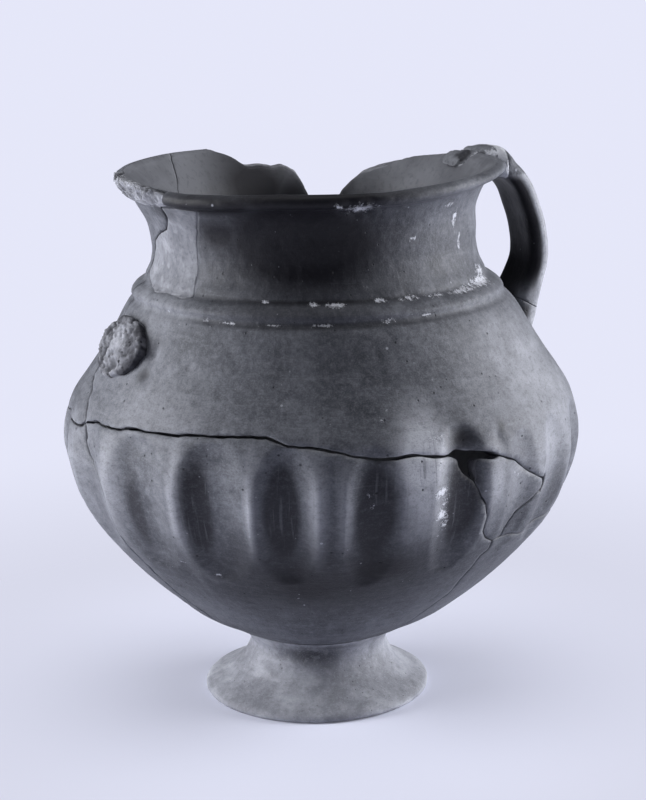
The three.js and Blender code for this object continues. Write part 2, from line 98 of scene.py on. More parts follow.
# Breaks through the wall as [angle, height] points
BELLY_BREAK = [
    [-191, 118], [-188, 117.2], [-182, 117], [-178, 117.2], [-175.6, 119.2], [-170.3, 121.3], [-166.4, 120.8],
    [-161, 121.3], [-158.4, 122.7], [-151, 122.8], [-144.6, 123.2], [-142, 124], [-134, 124.4], [-129, 124.9],
    [-123.8, 125], [-121.8, 123.9], [-118.8, 122.4], [-114.3, 122], [-110.9, 121.1], [-107.3, 119.5],
    [-103.9, 118.2], [-101.3, 117.3], [-98.7, 117.2], [-95.9, 117.6], [-93.1, 117.8], [-89.4, 117], [-84.9, 115.7],
]
HOLE_LOW = [[-84.9, 115.7], [-83.9, 115.0], [-82, 113.4], [-81.7, 111.2], [-80.6, 107.9], [-78.7, 105.4]]
HOLE_TOP = [[-84.9, 115.7], [-83.9, 116.3], [-82.6, 117.2], [-78, 115.8], [-74.8, 114.8], [-73.2, 113.3]]
HOLE_RIGHT = [[-78.7, 105.4], [-78.2, 106.8], [-78.4, 110.5], [-78.2, 113.2], [-77.2, 113.3], [-74.2, 112.8],
              [-73.2, 113.3]]
SHERD_SIDE = [[-78.7, 105.4], [-77.9, 103.2], [-77, 99.7], [-75.8, 95.4], [-75.3, 92.1], [-75, 88], [-74.7, 84.7],
              [-73.2, 81.8], [-70, 79.2]]
SHERD_TOP = [[-73.2, 113.3], [-71.2, 111.9], [-67.7, 109.7], [-65.5, 107.2], [-63.2, 104], [-60.3, 101.4],
             [-58.4, 99.9]]
NOTCH_OUTER = [[-58.4, 99.9], [-57, 99.9], [-54.4, 99.2], [-54, 96.9], [-54.9, 95.2], [-56.8, 94.2], [-59, 95.4]]
NOTCH_INNER = [[-58.4, 99.9], [-56.9, 97.4], [-57.8, 96.4], [-59, 95.4]]
SHERD_RIGHT = [[-59, 95.4], [-61.6, 92], [-64, 89], [-65.6, 85.8], [-66.3, 81.2], [-66.9, 79]]
SHERD_TIP = [[-66.9, 79], [-70, 79.2]]
LOW_BREAK = [[-66.9, 79], [-63.6, 79], [-57.8, 77.2], [-50.3, 79.2], [-40.3, 81], [-22, 83], [-3, 87], [18, 88.5],
             [34, 93], [52, 95], [66, 99]]
BACK_BREAK = [[66, 99], [78, 101], [92, 104], [108, 106], [121, 110], [136, 111], [150, 115]]
BACK_LEFT_BREAK = [[150, 115], [160, 116.5], [169, 118]]
BOWL_LEFT = [[-175.6, 119.2], [-174.6, 112], [-173.2, 108.5], [-171, 105.5], [-168.6, 101.5], [-166.6, 97],
             [-166, 90], [-166.6, 80], [-164, 66], [-163, 54], [-161, 42], [-160, 27.35], [-160, 0]]
BOWL_FRONT = [[-70, 79.2], [-69.7, 75.5], [-71.2, 73], [-70.8, 68], [-71.5, 62], [-70, 55], [-73, 47], [-74, 38],
              [-76, 27.35], [-76, 0]]
NECK_LEFT_LOW = [[-175.6, 119.2], [-178.5, 125], [-181.3, 129], [-186.5, 133.2], [-187.5, 140], [-190, 148],
                 [-191, 160], [-190.7, 171]]
NECK_LEFT_HIGH = [[-190.7, 171], [-188.4, 177.2], [-183.7, 182.8], [-176.1, 186.5], [-170.2, 188.2],
                  [-166.6, 191.6], [-164.6, 194.4], [-164.2, 197.6]]
NECK_LEFT_LIP = [[-164.2, 197.6], [-163.4, 201], [-163.8, 206]]
FILL_EDGE = [[-164.2, 197.6], [-157, 198.6], [-147.8, 198.6], [-151.3, 192], [-153.8, 186], [-154.8, 179],
             [-154.8, 171], [-154, 166], [-158, 165.2], [-166, 165.8], [-174, 165.2], [-182, 166.6], [-190.7, 171]]
NECK_BACK = [[150, 115], [146, 128], [144, 141], [140, 152], [138, 163], [133, 176], [132, 186], [130.5, 195],
             [127, 198], [123, 202], [120.5, 206]]
REAR_BREAK = [[66, 179], [65, 168], [69, 155], [69, 143], [74, 130], [71, 114], [66, 99]]
GAP_RIGHT = [[66, 179], [61, 181], [58.5, 184], [55.7, 188.4], [54, 191], [52.4, 192.8], [48, 196.6], [44, 197.9],
             [39, 199.2], [34, 200.1], [30, 201], [26, 201.6], [22, 202.1], [18, 202.6], [14, 203.2], [12, 206]]
GAP_LEFT = [[66, 179], [67.5, 183], [69, 188], [71, 193], [73.5, 196.8], [78, 198.6], [82, 198.2], [86, 199],
            [91, 198.6], [95, 200.2], [99, 202.4], [102, 204.2], [104.5, 206]]


def look_up(position, positions, values):
    return np.interp(position, positions, values)


def smooth_curve(points, count):
    """Points along a smooth curve through the given ones, spaced evenly in share of the way."""
    points = np.asarray(points, float)
    ends = np.vstack([2 * points[0] - points[1], points, 2 * points[-1] - points[-2]])
    place = np.linspace(0, len(points) - 1, count)
    index = np.minimum(place.astype(int), len(points) - 2)
    share = (place - index)[:, None]
    before, start, end, after = (ends[index + step] for step in range(4))
    return 0.5 * (2 * start + (end - before) * share
                  + (2 * before - 5 * start + 4 * end - after) * share ** 2
                  + (3 * start - before - 3 * end + after) * share ** 3)


DENSE = 1600
OUTER_CURVE = smooth_curve(OUTLINE, DENSE)
INNER_CURVE = smooth_curve(INLINE, DENSE)
LENGTHS = np.concatenate([[0], np.cumsum(np.linalg.norm(np.diff(OUTER_CURVE, axis=0), axis=1))])
JOIN_LENGTH = look_up(27.4, OUTER_CURVE[:, 1], LENGTHS)
TOP_LENGTH = LENGTHS[-1]


def length_at(height):
    """How far along the outer outline a height lies; heights at the underside run to the middle."""
    high = np.maximum.accumulate(OUTER_CURVE[:, 1] + np.arange(DENSE) * 1e-7)
    return np.where(np.asarray(height) < 10, 0.0, look_up(height, high, LENGTHS))


def ripple(angle, length, seed, size):
    """A slow handmade unevenness: a few sine waves round and along the pot, with fixed phases."""
    phases = np.random.default_rng(seed).uniform(0, 2 * math.pi, 12)
    turn = np.radians(angle)
    total = np.zeros_like(turn)
    for step, (round_waves, long_waves) in enumerate([(2, 14), (3, 31), (5, 22), (7, 47), (11, 60), (17, 38)]):
        total += np.sin(round_waves * turn + length / long_waves * 2 + phases[step]) / (1 + 0.35 * step)
        total += np.sin(length / long_waves * 3 - round_waves * turn + phases[step + 6]) / (2 + 0.4 * step)
    return size * total / 3


def grain(first, second, seed, scale):
    """Smooth noise between -1 and 1: fixed random values on a grid, blended between its corners."""
    values = np.random.default_rng(seed).uniform(-1, 1, (64, 64))
    x = np.asarray(first) / scale
    y = np.asarray(second) / scale
    column = np.floor(x).astype(int)
    row = np.floor(y).astype(int)
    across = x - column
    up = y - row
    across = across * across * (3 - 2 * across)
    up = up * up * (3 - 2 * up)
    corner = values[row % 64, column % 64] * (1 - across) + values[row % 64, (column + 1) % 64] * across
    above = values[(row + 1) % 64, column % 64] * (1 - across) + values[(row + 1) % 64, (column + 1) % 64] * across
    return corner * (1 - up) + above * up


def lumps(points, seed, scale):
    """Smooth noise in space, about -1 to 1: fixed random values on a lattice, blended between its corners."""
    size = 24
    values = np.random.default_rng(seed).uniform(-1, 1, (size, size, size))
    at = np.asarray(points) / scale + 300
    cell = np.floor(at).astype(int)
    share = at - cell
    share = share * share * (3 - 2 * share)
    total = 0
    for corner in np.ndindex(2, 2, 2):
        weight = np.prod(np.where(corner, share, 1 - share), axis=-1)
        x, y, z = np.moveaxis((cell + corner) % size, -1, 0)
        total = total + weight * values[x, y, z]
    return total * 1.3


def turned(angle):
    return (np.asarray(angle) + 180) % 360 - 180


def spot(angle, height, at_angle, at_height, wide, tall):
    """1 at the middle of an oval spot on the wall, fading to 0 round it."""
    across = turned(np.asarray(angle) - at_angle) / wide
    up = (np.asarray(height) - at_height) / tall
    return np.exp(-(across ** 2 + up ** 2))


def pot_point(radius, angle, height):
    """Points of the leaning pot, in millimetres."""
    lean = look_up(height, LEAN_HEIGHTS, LEANS)
    turn = np.radians(angle)
    lean_turn = math.radians(LEAN_ANGLE)
    return np.stack([
        radius * np.cos(turn) + lean * math.cos(lean_turn),
        radius * np.sin(turn) + lean * math.sin(lean_turn),
        height + 0 * turn,
    ], -1)


def press_depth(angle, height):
    """How deep the finger flutes go: broad hollows, pointed at both ends, that meet in narrow crests."""
    depth = np.zeros(np.broadcast(angle, height).shape)
    for at, half_width, deep, low, high in FLUTES + BACK_FLUTES:
        middle = (low + high) / 2
        fade = np.clip(1 - np.abs((height - middle) / ((high - low) / 2)) ** 2.2, 0, 1)
        width = half_width * (0.3 + 0.7 * np.sqrt(fade))
        across = np.clip(np.abs(turned(angle - at) / width), 0, 1)
        depth = np.maximum(depth, deep * fade ** 0.6 * (1 - across ** 2.2) ** 1.5)
    return depth


# Dents and gouges in the outside: [angle, height, half width in degrees, half height, depth]
DENTS = [
    [-161.2, 147, 1.3, 6.5, 1.5], [-160.4, 139.5, 1.6, 2.5, 1.2], [-72.4, 119.5, 0.9, 2.2, 0.9], [-71.6, 117, 0.6, 1.6, 0.7],
    [-40, 81, 1.6, 1.4, 1.2], [-157.6, 112, 1.0, 1.0, 0.6], [-152, 96, 0.8, 1.4, 0.6], [-95, 80, 0.25, 4.5, 0.5],
    [-135.5, 131, 0.2, 7, 0.35], [-134.2, 129, 0.18, 5, 0.3], [-140, 134, 2.5, 1.2, 0.3], [-147, 143, 1.8, 2.2, 0.35],
]


def dent_depth(angle, height):
    depth = np.zeros(np.broadcast(angle, height).shape)
    for at_angle, at_height, wide, tall, deep in DENTS:
        depth = np.maximum(depth, deep * spot(angle, height, at_angle, at_height, wide, tall))
    return depth


def lip_height(height, angle):
    share = np.clip((height - 185) / 20, 0, 1)
    share = share * share * (3 - 2 * share)
    return height + share * look_up(turned(angle), LIP_ANGLES, LIP_RISES)


def outer_point(angle, length):
    radius = look_up(length, LENGTHS, OUTER_CURVE[:, 0])
    height = look_up(length, LENGTHS, OUTER_CURVE[:, 1])
    free = np.clip((length - JOIN_LENGTH) / 6, 0, 1)
    radius = radius - press_depth(angle, height) - dent_depth(angle, height)
    swell = 1.4 * np.exp(-(turned(angle + 25) / 45) ** 2) * (1 - np.exp(-((height - 165) / 7) ** 2))
    swell = swell * (1 - 0.97 * np.exp(-((height - 112) / 22) ** 2))
    radius = radius + free * (swell - 0.5 + ripple(angle, length, 3, 0.22))
    radius = radius + 0.09 * free * grain(angle * 1.5, length, 4, 3.4)
    radius = radius + 2.0 * spot(angle, height, 172, 195, 48, 6) - 1.3 * spot(angle, height, -22, 193, 42, 6)
    chip = spot(angle, height, -96, 199.6, 6.5, 3.2)
    rough = 0.6 + 0.5 * grain(angle, height, 5, 1.6)
    radius = radius - 3.2 * chip ** 0.8 * rough
    root = np.clip(1 - (np.abs(turned(angle + 178)) / 21) ** 6, 0, 1) * (height > 195.5)
    radius = np.where(root > 0, np.minimum(radius, 66.6 + 0.35 * (height - 196)), radius)
    thinner = 2.7 * spot(angle, height, -18, 199.6, 44, 3.4)
    return pot_point(radius, angle, lip_height(height, angle) + thinner)


def inner_point(angle, length):
    radius = look_up(length, LENGTHS, INNER_CURVE[:, 0])
    height = look_up(length, LENGTHS, INNER_CURVE[:, 1])
    radius = radius + np.clip(radius / 30, 0, 1) * ripple(angle, length, 8, 0.3) - 0.15
    radius = radius - 0.45 * press_depth(angle, height)
    return pot_point(radius, angle, lip_height(height, angle))


LINE_SEED = 40


def ragged(line, seed, gap, size=0.22):
    """A break line in [angle, length, gap] points about 1.2 mm apart, with a small fixed unevenness."""
    line = np.asarray(line, float)
    line = np.stack([line[:, 0], length_at(line[:, 1])], -1)
    steps = np.diff(line, axis=0) * [math.radians(ARC_RADIUS), 1]
    place = np.concatenate([[0], np.cumsum(np.linalg.norm(steps, axis=1))])
    count = max(int(place[-1] / 1.2), 2)
    at = np.linspace(0, place[-1], count + 1)
    fine = np.stack([look_up(at, place, line[:, 0]), look_up(at, place, line[:, 1])], -1)
    sway = np.stack([grain(at, 0 * at, seed, 3.1) / math.radians(ARC_RADIUS), grain(at, 0 * at + 9, seed, 2.3)], -1)
    ends = np.minimum(1, np.minimum(at, place[-1] - at) / 2)[:, None]
    width = gap * (1 + 0.45 * grain(at, 0 * at + 31, seed, 4.3))
    return np.column_stack([fine + size * sway * ends, width])


def joined(*lines):
    """Break lines joined end to end into one closed outline; each line's last point is left out."""
    return np.vstack([line[:-1] for line in lines])


def backwards(line):
    return line[::-1]


def once_round(line):
    """The same line one whole turn further on."""
    return line + [360, 0, 0]


def distance_to(outline, angle, length, scale):
    """The nearest point of a closed outline to each place, its distance and its inward direction."""
    best = np.full(angle.shape, 1e9)
    near = np.zeros(angle.shape + (3,))
    inward = np.zeros(angle.shape + (2,))
    following = np.roll(outline, -1, axis=0)
    area = np.sum(outline[:, 0] * following[:, 1] - following[:, 0] * outline[:, 1])
    side = 1.0 if area > 0 else -1.0
    for start, end in zip(outline, following):
        run_x = (end[0] - start[0]) * scale
        run_y = end[1] - start[1]
        to_x = (angle - start[0]) * scale
        to_y = length - start[1]
        size = run_x ** 2 + run_y ** 2 + 1e-12
        share = np.clip((to_x * run_x + to_y * run_y) / size, 0, 1)
        gap = np.hypot(to_x - share * run_x, to_y - share * run_y)
        closer = gap < best
        best = np.where(closer, gap, best)
        near[..., 0] = np.where(closer, start[0] + share * (end[0] - start[0]), near[..., 0])
        near[..., 1] = np.where(closer, start[1] + share * (end[1] - start[1]), near[..., 1])
        near[..., 2] = np.where(closer, start[2] + share * (end[2] - start[2]), near[..., 2])
        inward[..., 0] = np.where(closer, -side * run_y / np.sqrt(size), inward[..., 0])
        inward[..., 1] = np.where(closer, side * run_x / np.sqrt(size), inward[..., 1])
    return best, near, inward


def inside(outline, angle, length):
    within = np.zeros(angle.shape, bool)
    following = np.roll(outline, -1, axis=0)
    for start, end in zip(outline, following):
        if start[1] == end[1]:
            continue
        crosses = (start[1] > length) != (end[1] > length)
        at = start[0] + (length - start[1]) / (end[1] - start[1]) * (end[0] - start[0])
        within ^= crosses & (angle < at)
    return within


def make_object(name, points, faces, slots, attributes, materials, smooth_slots=(0, 1)):
    """A mesh object in metres from millimetre points; doubled points on the axis are left for merge_close."""
    mesh = bpy.data.meshes.new(name)
    mesh.from_pydata((points * MM).tolist(), [], faces.tolist())
    mesh.polygons.foreach_set("material_index", slots.astype(np.int32))
    mesh.polygons.foreach_set("use_smooth", np.isin(slots, smooth_slots))
    for key, values in attributes.items():
        kind = "FLOAT_VECTOR" if values.ndim == 2 else "FLOAT"
        layer = mesh.attributes.new(key, kind, "POINT")
        layer.data.foreach_set("vector" if values.ndim == 2 else "value", values.astype(np.float32).ravel())
    for material in materials:
        mesh.materials.append(material)
    piece = bpy.data.objects.new(name, mesh)
    bpy.context.scene.collection.objects.link(piece)
    return piece


def merge_close(piece, distance=0.00002):
    import bmesh
    work = bmesh.new()
    work.from_mesh(piece.data)
    bmesh.ops.remove_doubles(work, verts=work.verts, dist=distance)
    bmesh.ops.dissolve_degenerate(work, edges=work.edges, dist=distance / 2)
    work.to_mesh(piece.data)
    work.free()
    piece.data.update()


# White deposits on the outside: [angle, height, half width in degrees, half height, strength]
LIME_SPOTS = [
    [-44, 166.5, 12, 2.3, 1.05], [-40, 169.4, 6, 3.3, 0.9], [-58, 165.6, 11, 1.1, 0.95], [-47, 176, 4, 6, 0.3],
    [-87, 103.2, 2.5, 2.8, 1.05], [-85.6, 99, 1.7, 2.4, 0.9], [-86.2, 94.6, 2.3, 3.0, 1.1], [-85, 90.5, 1.8, 2.5, 0.95],
    [-86.5, 86, 1, 1.8, 0.6], [-67.2, 104.5, 1.7, 1.7, 0.85], [-60.4, 101.8, 1.6, 1.2, 0.8],
    [-102.4, 108.5, 0.6, 0.9, 0.85], [-102.2, 104.5, 0.9, 1.2, 0.9], [-101.8, 100, 0.6, 1.7, 0.85],
    [-106, 165.6, 4.2, 0.8, 1.2], [-113, 166, 2, 0.8, 1.1], [-128, 166.8, 1.8, 0.8, 1.15], [-92, 166.2, 3, 0.9, 1.1],
    [-82, 166.0, 6, 0.8, 0.95], [-72, 165.7, 6, 0.8, 0.9], [-146, 159.6, 2.2, 0.8, 1.15], [-139, 159.4, 3.4, 0.7, 1.0],
    [-125, 159.4, 5, 0.6, 0.85], [-111, 159.4, 3.4, 0.8, 1.15], [-92, 159.8, 3, 0.8, 1.15], [-79, 160.4, 2.4, 0.8, 1.05],
    [-97, 199.6, 6.5, 2.8, 0.92], [-104, 200.8, 2.4, 1.6, 0.85], [-118, 197, 1.8, 0.8, 0.6], [-128, 196, 1.6, 0.8, 0.6],
    [-134, 194.5, 2.6, 0.8, 0.5], [-76, 186, 2.2, 1.3, 0.85], [-62, 196, 3, 1.2, 0.8], [-56, 191, 1.7, 4.5, 1.0],
    [-52, 182, 1.6, 5, 0.9], [-103, 183.5, 1.2, 0.6, 0.5], [-95, 170.5, 1.8, 0.8, 0.7], [-120, 138, 0.8, 0.8, 0.8],
    [-121.5, 141, 0.5, 0.6, 0.7], [-99, 129.5, 0.9, 0.9, 0.85], [-97.5, 132, 0.6, 0.6, 0.7], [-138, 71, 1.4, 1.1, 0.8],
    [-146, 75, 1.2, 1.0, 0.75], [-131, 66, 1, 0.9, 0.65], [-118, 62, 1.0, 0.8, 0.6], [-88, 122.5, 4, 2, 0.62],
]
# Where the clay is drawn blackest, in the same form: firing blackening, with painted shade over the front of the neck
# and lip, in the creases by the ring and low on the front of the belly
BLACKENING_AND_SHADE_SPOTS = [[-115, 187, 35, 22, 1.35], [-112, 69, 44, 23, 0.92], [-99, 74, 18, 14, 1.0], [-141, 201, 26, 5.5, 1.15], [-112, 203, 34, 7, 1.2],
              [-143, 189, 14, 10, 1.0], [-163, 196, 9, 4, 0.8], [-115, 166.4, 48, 1.5, 0.9],
              [-112, 158.8, 55, 1.2, 0.75], [-118, 163, 30, 6, 0.6], [-108, 150, 26, 9, 0.25], [-100, 116, 30, 14, 0.12], [-81, 121, 3.6, 4.4, 0.95], [-70.8, 122.5, 0.9, 2.4, 0.9],
              [-57.5, 106, 1.4, 1.8, 0.5], [-160.4, 150, 1.8, 1.6, 0.9], [-162, 139, 2.2, 2.6, 0.8]]
# Painted shade on the inside, where the inner wall lies in shade, in the same form
INNER_SHADE_SPOTS = [[91, 192, 18, 15, 1.15], [76, 188, 14, 12, 0.9], [59, 188, 11, 13, 0.9], [46, 184, 16, 12, 0.5],
                    [40, 176, 40, 13, 0.6], [90, 150, 60, 40, 0.5]]


# Where the crests between the flutes are drawn palest: handling wear, with a painted highlight along them
CREST_WEAR_AND_HIGHLIGHT_SPOTS = [
    [-180, 104, 12, 22, 0.3], [-163.8, 100, 4, 20, 0.6], [-148, 100, 4, 17, 0.24], [-144, 98, 1.7, 21, 1.0],
    [-127, 98, 1.0, 15, 1.0], [-113.2, 97, 1.8, 20, 0.8], [-107.2, 97, 1.4, 15, 0.6], [-91.3, 117, 5, 12, 2.0],
    [-91, 102, 5, 14, 0.95], [-73.4, 104, 2.6, 14, 0.8], [-66, 101, 4, 11, 0.45], [-54, 110, 12, 13, 0.5],
    [-154, 129, 14, 11, 0.34], [-48, 134, 22, 22, 0.5], [-72, 134, 8, 8, 0.25],
]
# Where soot and shadow sit darkest in the flutes, in the same form
FLUTE_SOOT_AND_SHADE_SPOTS = [
    [-157, 92, 3, 17, 0.75], [-130.5, 84, 3.2, 13, 0.35], [-139.5, 98, 3.7, 20, 1.05], [-120.6, 98, 4.0, 19, 1.3], [-101, 98, 4.7, 19, 1.2],
    [-81, 99, 4.3, 19, 1.15], [-173, 92, 3, 16, 0.4], [-64, 88, 3, 8, 0.3], [-48, 92, 3, 14, 0.5], [-33, 94, 3, 16, 0.5],
]


def painted(spots, angle, height):
    total = np.zeros(np.shape(angle))
    for at_angle, at_height, wide, tall, strength in spots:
        total = np.maximum(total, strength * spot(angle, height, at_angle, at_height, wide, tall))
    return total


def flute_soot_and_shade_mask(angle, height):
    """Soot and painted shade in the flutes: ovals with firmer edges than the painted spots, and round the back darker
    the deeper the flute.
    """
    total = np.zeros(np.shape(angle))
    for at_angle, at_height, wide, tall, strength in FLUTE_SOOT_AND_SHADE_SPOTS:
        reach = np.hypot(turned(angle - at_angle) / wide, (height - at_height) / tall)
        total = np.maximum(total, strength * np.clip((1.25 - reach) / 0.7, 0, 1))
    behind = np.clip((np.abs(turned(angle + 100)) - 75) / 10, 0, 1)
    return np.maximum(total, 0.7 * behind * np.clip(press_depth(angle, height) / 4, 0, 1))


def back_crest_wear_and_highlight(angle, height):
    """The crests round the back, where the flutes are evenly spaced: palest along their middles, as wear with a painted
    highlight.
    """
    behind = np.clip((np.abs(turned(angle + 100)) - 75) / 10, 0, 1)
    along = np.exp(-np.abs((height - 99) / 17) ** 3)
    return 0.5 * behind * along * np.clip(1 - press_depth(angle, height) / 1.6, 0, 1)


def wall_marks(angle, height, shell):
    """Masks of the wall's finish: white deposits, plaster wash, and blackened clay with painted shade."""
    outside = shell < 0.5
    wash = np.clip(1.5 * spot(angle, height, -163, 160, 12, 7), 0, 1) * 0.7
    wash = np.maximum(wash, 0.55 * np.clip(1.3 * spot(angle, height, -168, 148, 13, 8), 0, 1))
    wash = np.maximum(wash, 0.8 * np.clip(1.6 * spot(angle, height, -176, 172, 7, 16), 0, 1))
    blackening_and_shade = np.where(outside, painted(BLACKENING_AND_SHADE_SPOTS, angle, height), painted(INNER_SHADE_SPOTS, angle, height))
    return painted(LIME_SPOTS, angle, height) * outside, wash * outside, blackening_and_shade


def sherd(name, outline, materials):
    """A sherd of the wall from its outline in [angle, length].

    A grid of cells covers the outline. Cells whose middle is inside are kept, the points on their
    border are moved onto the outline less half of the gap, and the same grid on the inner surface,
    joined round the border by three rows of rough faces, closes the sherd.
    """
    scale = math.radians(ARC_RADIUS)
    rows = np.arange(0, int(TOP_LENGTH / CELL_LENGTH) + 1) * (TOP_LENGTH / int(TOP_LENGTH / CELL_LENGTH))
    first = math.floor(outline[:, 0].min() / CELL_ANGLE) - 1
    last = math.ceil(outline[:, 0].max() / CELL_ANGLE) + 1
    angles = np.arange(first, last + 1) * CELL_ANGLE
    angle, length = np.meshgrid(angles, rows)
    middle_angle = (angle[:-1, :-1] + angle[1:, 1:]) / 2
    middle_length = (length[:-1, :-1] + length[1:, 1:]) / 2
    kept = inside(outline, middle_angle, middle_length)
    around = np.pad(kept, 1)
    corner_count = (around[:-1, :-1].astype(int) + around[1:, :-1] + around[:-1, 1:] + around[1:, 1:])
    used = corner_count > 0
    border = used & (corner_count < 4)
    open_top = np.isclose(length, TOP_LENGTH)
    at_axis = length < 0.01
    near_band = border.copy()
    for _ in range(2):
        wide = np.pad(near_band, 1)
        near_band = (wide[1:-1, 1:-1] | wide[:-2, 1:-1] | wide[2:, 1:-1] | wide[1:-1, :-2] | wide[1:-1, 2:]) & used
    gap, near, inward = distance_to(outline, angle[near_band], length[near_band], scale)
    distance = np.full(angle.shape, 9.0)
    distance[near_band] = gap
    moved_angle = angle.copy()
    moved_length = length.copy()
    is_border = border[near_band]
    radius_here = np.maximum(look_up(near[:, 1], LENGTHS, OUTER_CURVE[:, 0]), 4)
    shift = near[:, 2] / 2
    new_angle = near[:, 0] + inward[:, 0] * shift / np.radians(radius_here)
    new_length = near[:, 1] + inward[:, 1] * shift
    moved_angle[near_band] = np.where(is_border, new_angle, angle[near_band])
    moved_length[near_band] = np.where(is_border, np.clip(new_length, 0, TOP_LENGTH), length[near_band])
    on_lip = border & open_top
    moved_length[on_lip] = TOP_LENGTH
    moved_length[at_axis] = 0
    distance[border] = 0
    distance[on_lip & (np.abs(moved_angle - angle) < 0.01)] = 9
    open_gap = np.full(angle.shape, 1.0)
    open_gap[near_band] = np.clip((near[:, 2] - 0.04) / 0.21, 0, 1)
    worn = np.clip(1 - distance / 1.6, 0, 1) ** 2 * open_gap

    index = np.full(angle.shape, -1)
    index[used] = np.arange(used.sum())
    count = int(used.sum())
    used_angle = moved_angle[used]
    used_length = moved_length[used]
    outer = outer_point(used_angle, used_length)
    inner = inner_point(used_angle, used_length)
    through = inner - outer
    through /= np.linalg.norm(through, axis=1)[:, None] + 1e-9
    chipping = 0.22 + 0.2 * grain(used_angle * scale, used_length, 17, 2.4)
    outer = outer + through * (worn[used] * np.clip(chipping, 0.05, 0.6))[:, None]
    top = np.isclose(used_length, TOP_LENGTH)[:, None]
    shares = [0.25, 0.55, 0.82]
    layers = [outer]
    for layer, share in enumerate(shares):
        rough = grain(used_angle * scale, used_length + 7 * layer, 23 + layer, 1.9)[:, None]
        bulge = np.where(top, np.array([0, 0, 0.12]), 0.18 * rough * np.array([1, -1, 1]))
        layers.append(outer + (inner - outer) * share + bulge)
    layers.append(inner)

    quads = np.argwhere(kept)
    row, column = quads[:, 0], quads[:, 1]
    corners = np.stack([index[row, column], index[row, column + 1], index[row + 1, column + 1],
                        index[row + 1, column]], -1)
    offset = count * (len(layers) - 1)
    faces = [corners, corners[:, ::-1] + offset]
    slots = [np.zeros(len(corners)), np.ones(len(corners))]
    beside = {
        (0, -1): ((1, 0), (0, 0)),
        (0, 1): ((0, 1), (1, 1)),
        (-1, 0): ((0, 0), (0, 1)),
        (1, 0): ((1, 1), (1, 0)),
    }
    for (step_row, step_column), (from_corner, to_corner) in beside.items():
        neighbour = around[1 + step_row:1 + step_row + kept.shape[0], 1 + step_column:1 + step_column + kept.shape[1]]
        edge = np.argwhere(kept & ~neighbour)
        start = index[edge[:, 0] + from_corner[0], edge[:, 1] + from_corner[1]]
        end = index[edge[:, 0] + to_corner[0], edge[:, 1] + to_corner[1]]
        lip = np.isclose(length[edge[:, 0] + from_corner[0], edge[:, 1]], TOP_LENGTH) & (step_row == 1)
        for layer in range(len(layers) - 1):
            below, above = layer * count, (layer + 1) * count
            faces.append(np.stack([end + below, start + below, start + above, end + above], -1))
            slots.append(np.where(lip, 0, 2))
    points = np.vstack(layers)
    faces = np.vstack(faces)
    slots = np.concatenate(slots)

    layer_count = len(layers)
    depth = np.repeat(np.linspace(0, 1, layer_count), count)
    all_angle = np.tile(used_angle, layer_count)
    all_length = np.tile(used_length, layer_count)
    height = look_up(all_length, LENGTHS, OUTER_CURVE[:, 1])
    lime, wash, blackening_and_shade = wall_marks(all_angle, height, depth)
    place = np.stack([np.radians(all_angle) * ARC_RADIUS, all_length, depth * 20], -1) * MM
    edge_wear = np.concatenate([worn[used]] + [np.ones(count)] * (layer_count - 2) + [0.4 * worn[used]])
    # Soot with painted shade: the flutes drawn dark where shade lies in them
    flute_soot_and_shade = flute_soot_and_shade_mask(all_angle, height) * (depth < 0.5)
    crest_wear_and_highlight = np.maximum(painted(CREST_WEAR_AND_HIGHLIGHT_SPOTS, all_angle, height), back_crest_wear_and_highlight(all_angle, height))
    crest_wear_and_highlight = crest_wear_and_highlight * np.clip(1 - flute_soot_and_shade, 0, 1) * (depth < 0.5)
    attributes = {"place": place, "lime": lime, "wash": wash, "blackening_and_shade": blackening_and_shade, "edge": edge_wear, "flute_soot_and_shade": flute_soot_and_shade,
                  "crest_wear_and_highlight": crest_wear_and_highlight}
    piece = make_object(name, points, faces, slots, attributes, materials)
    merge_close(piece)
    return piece


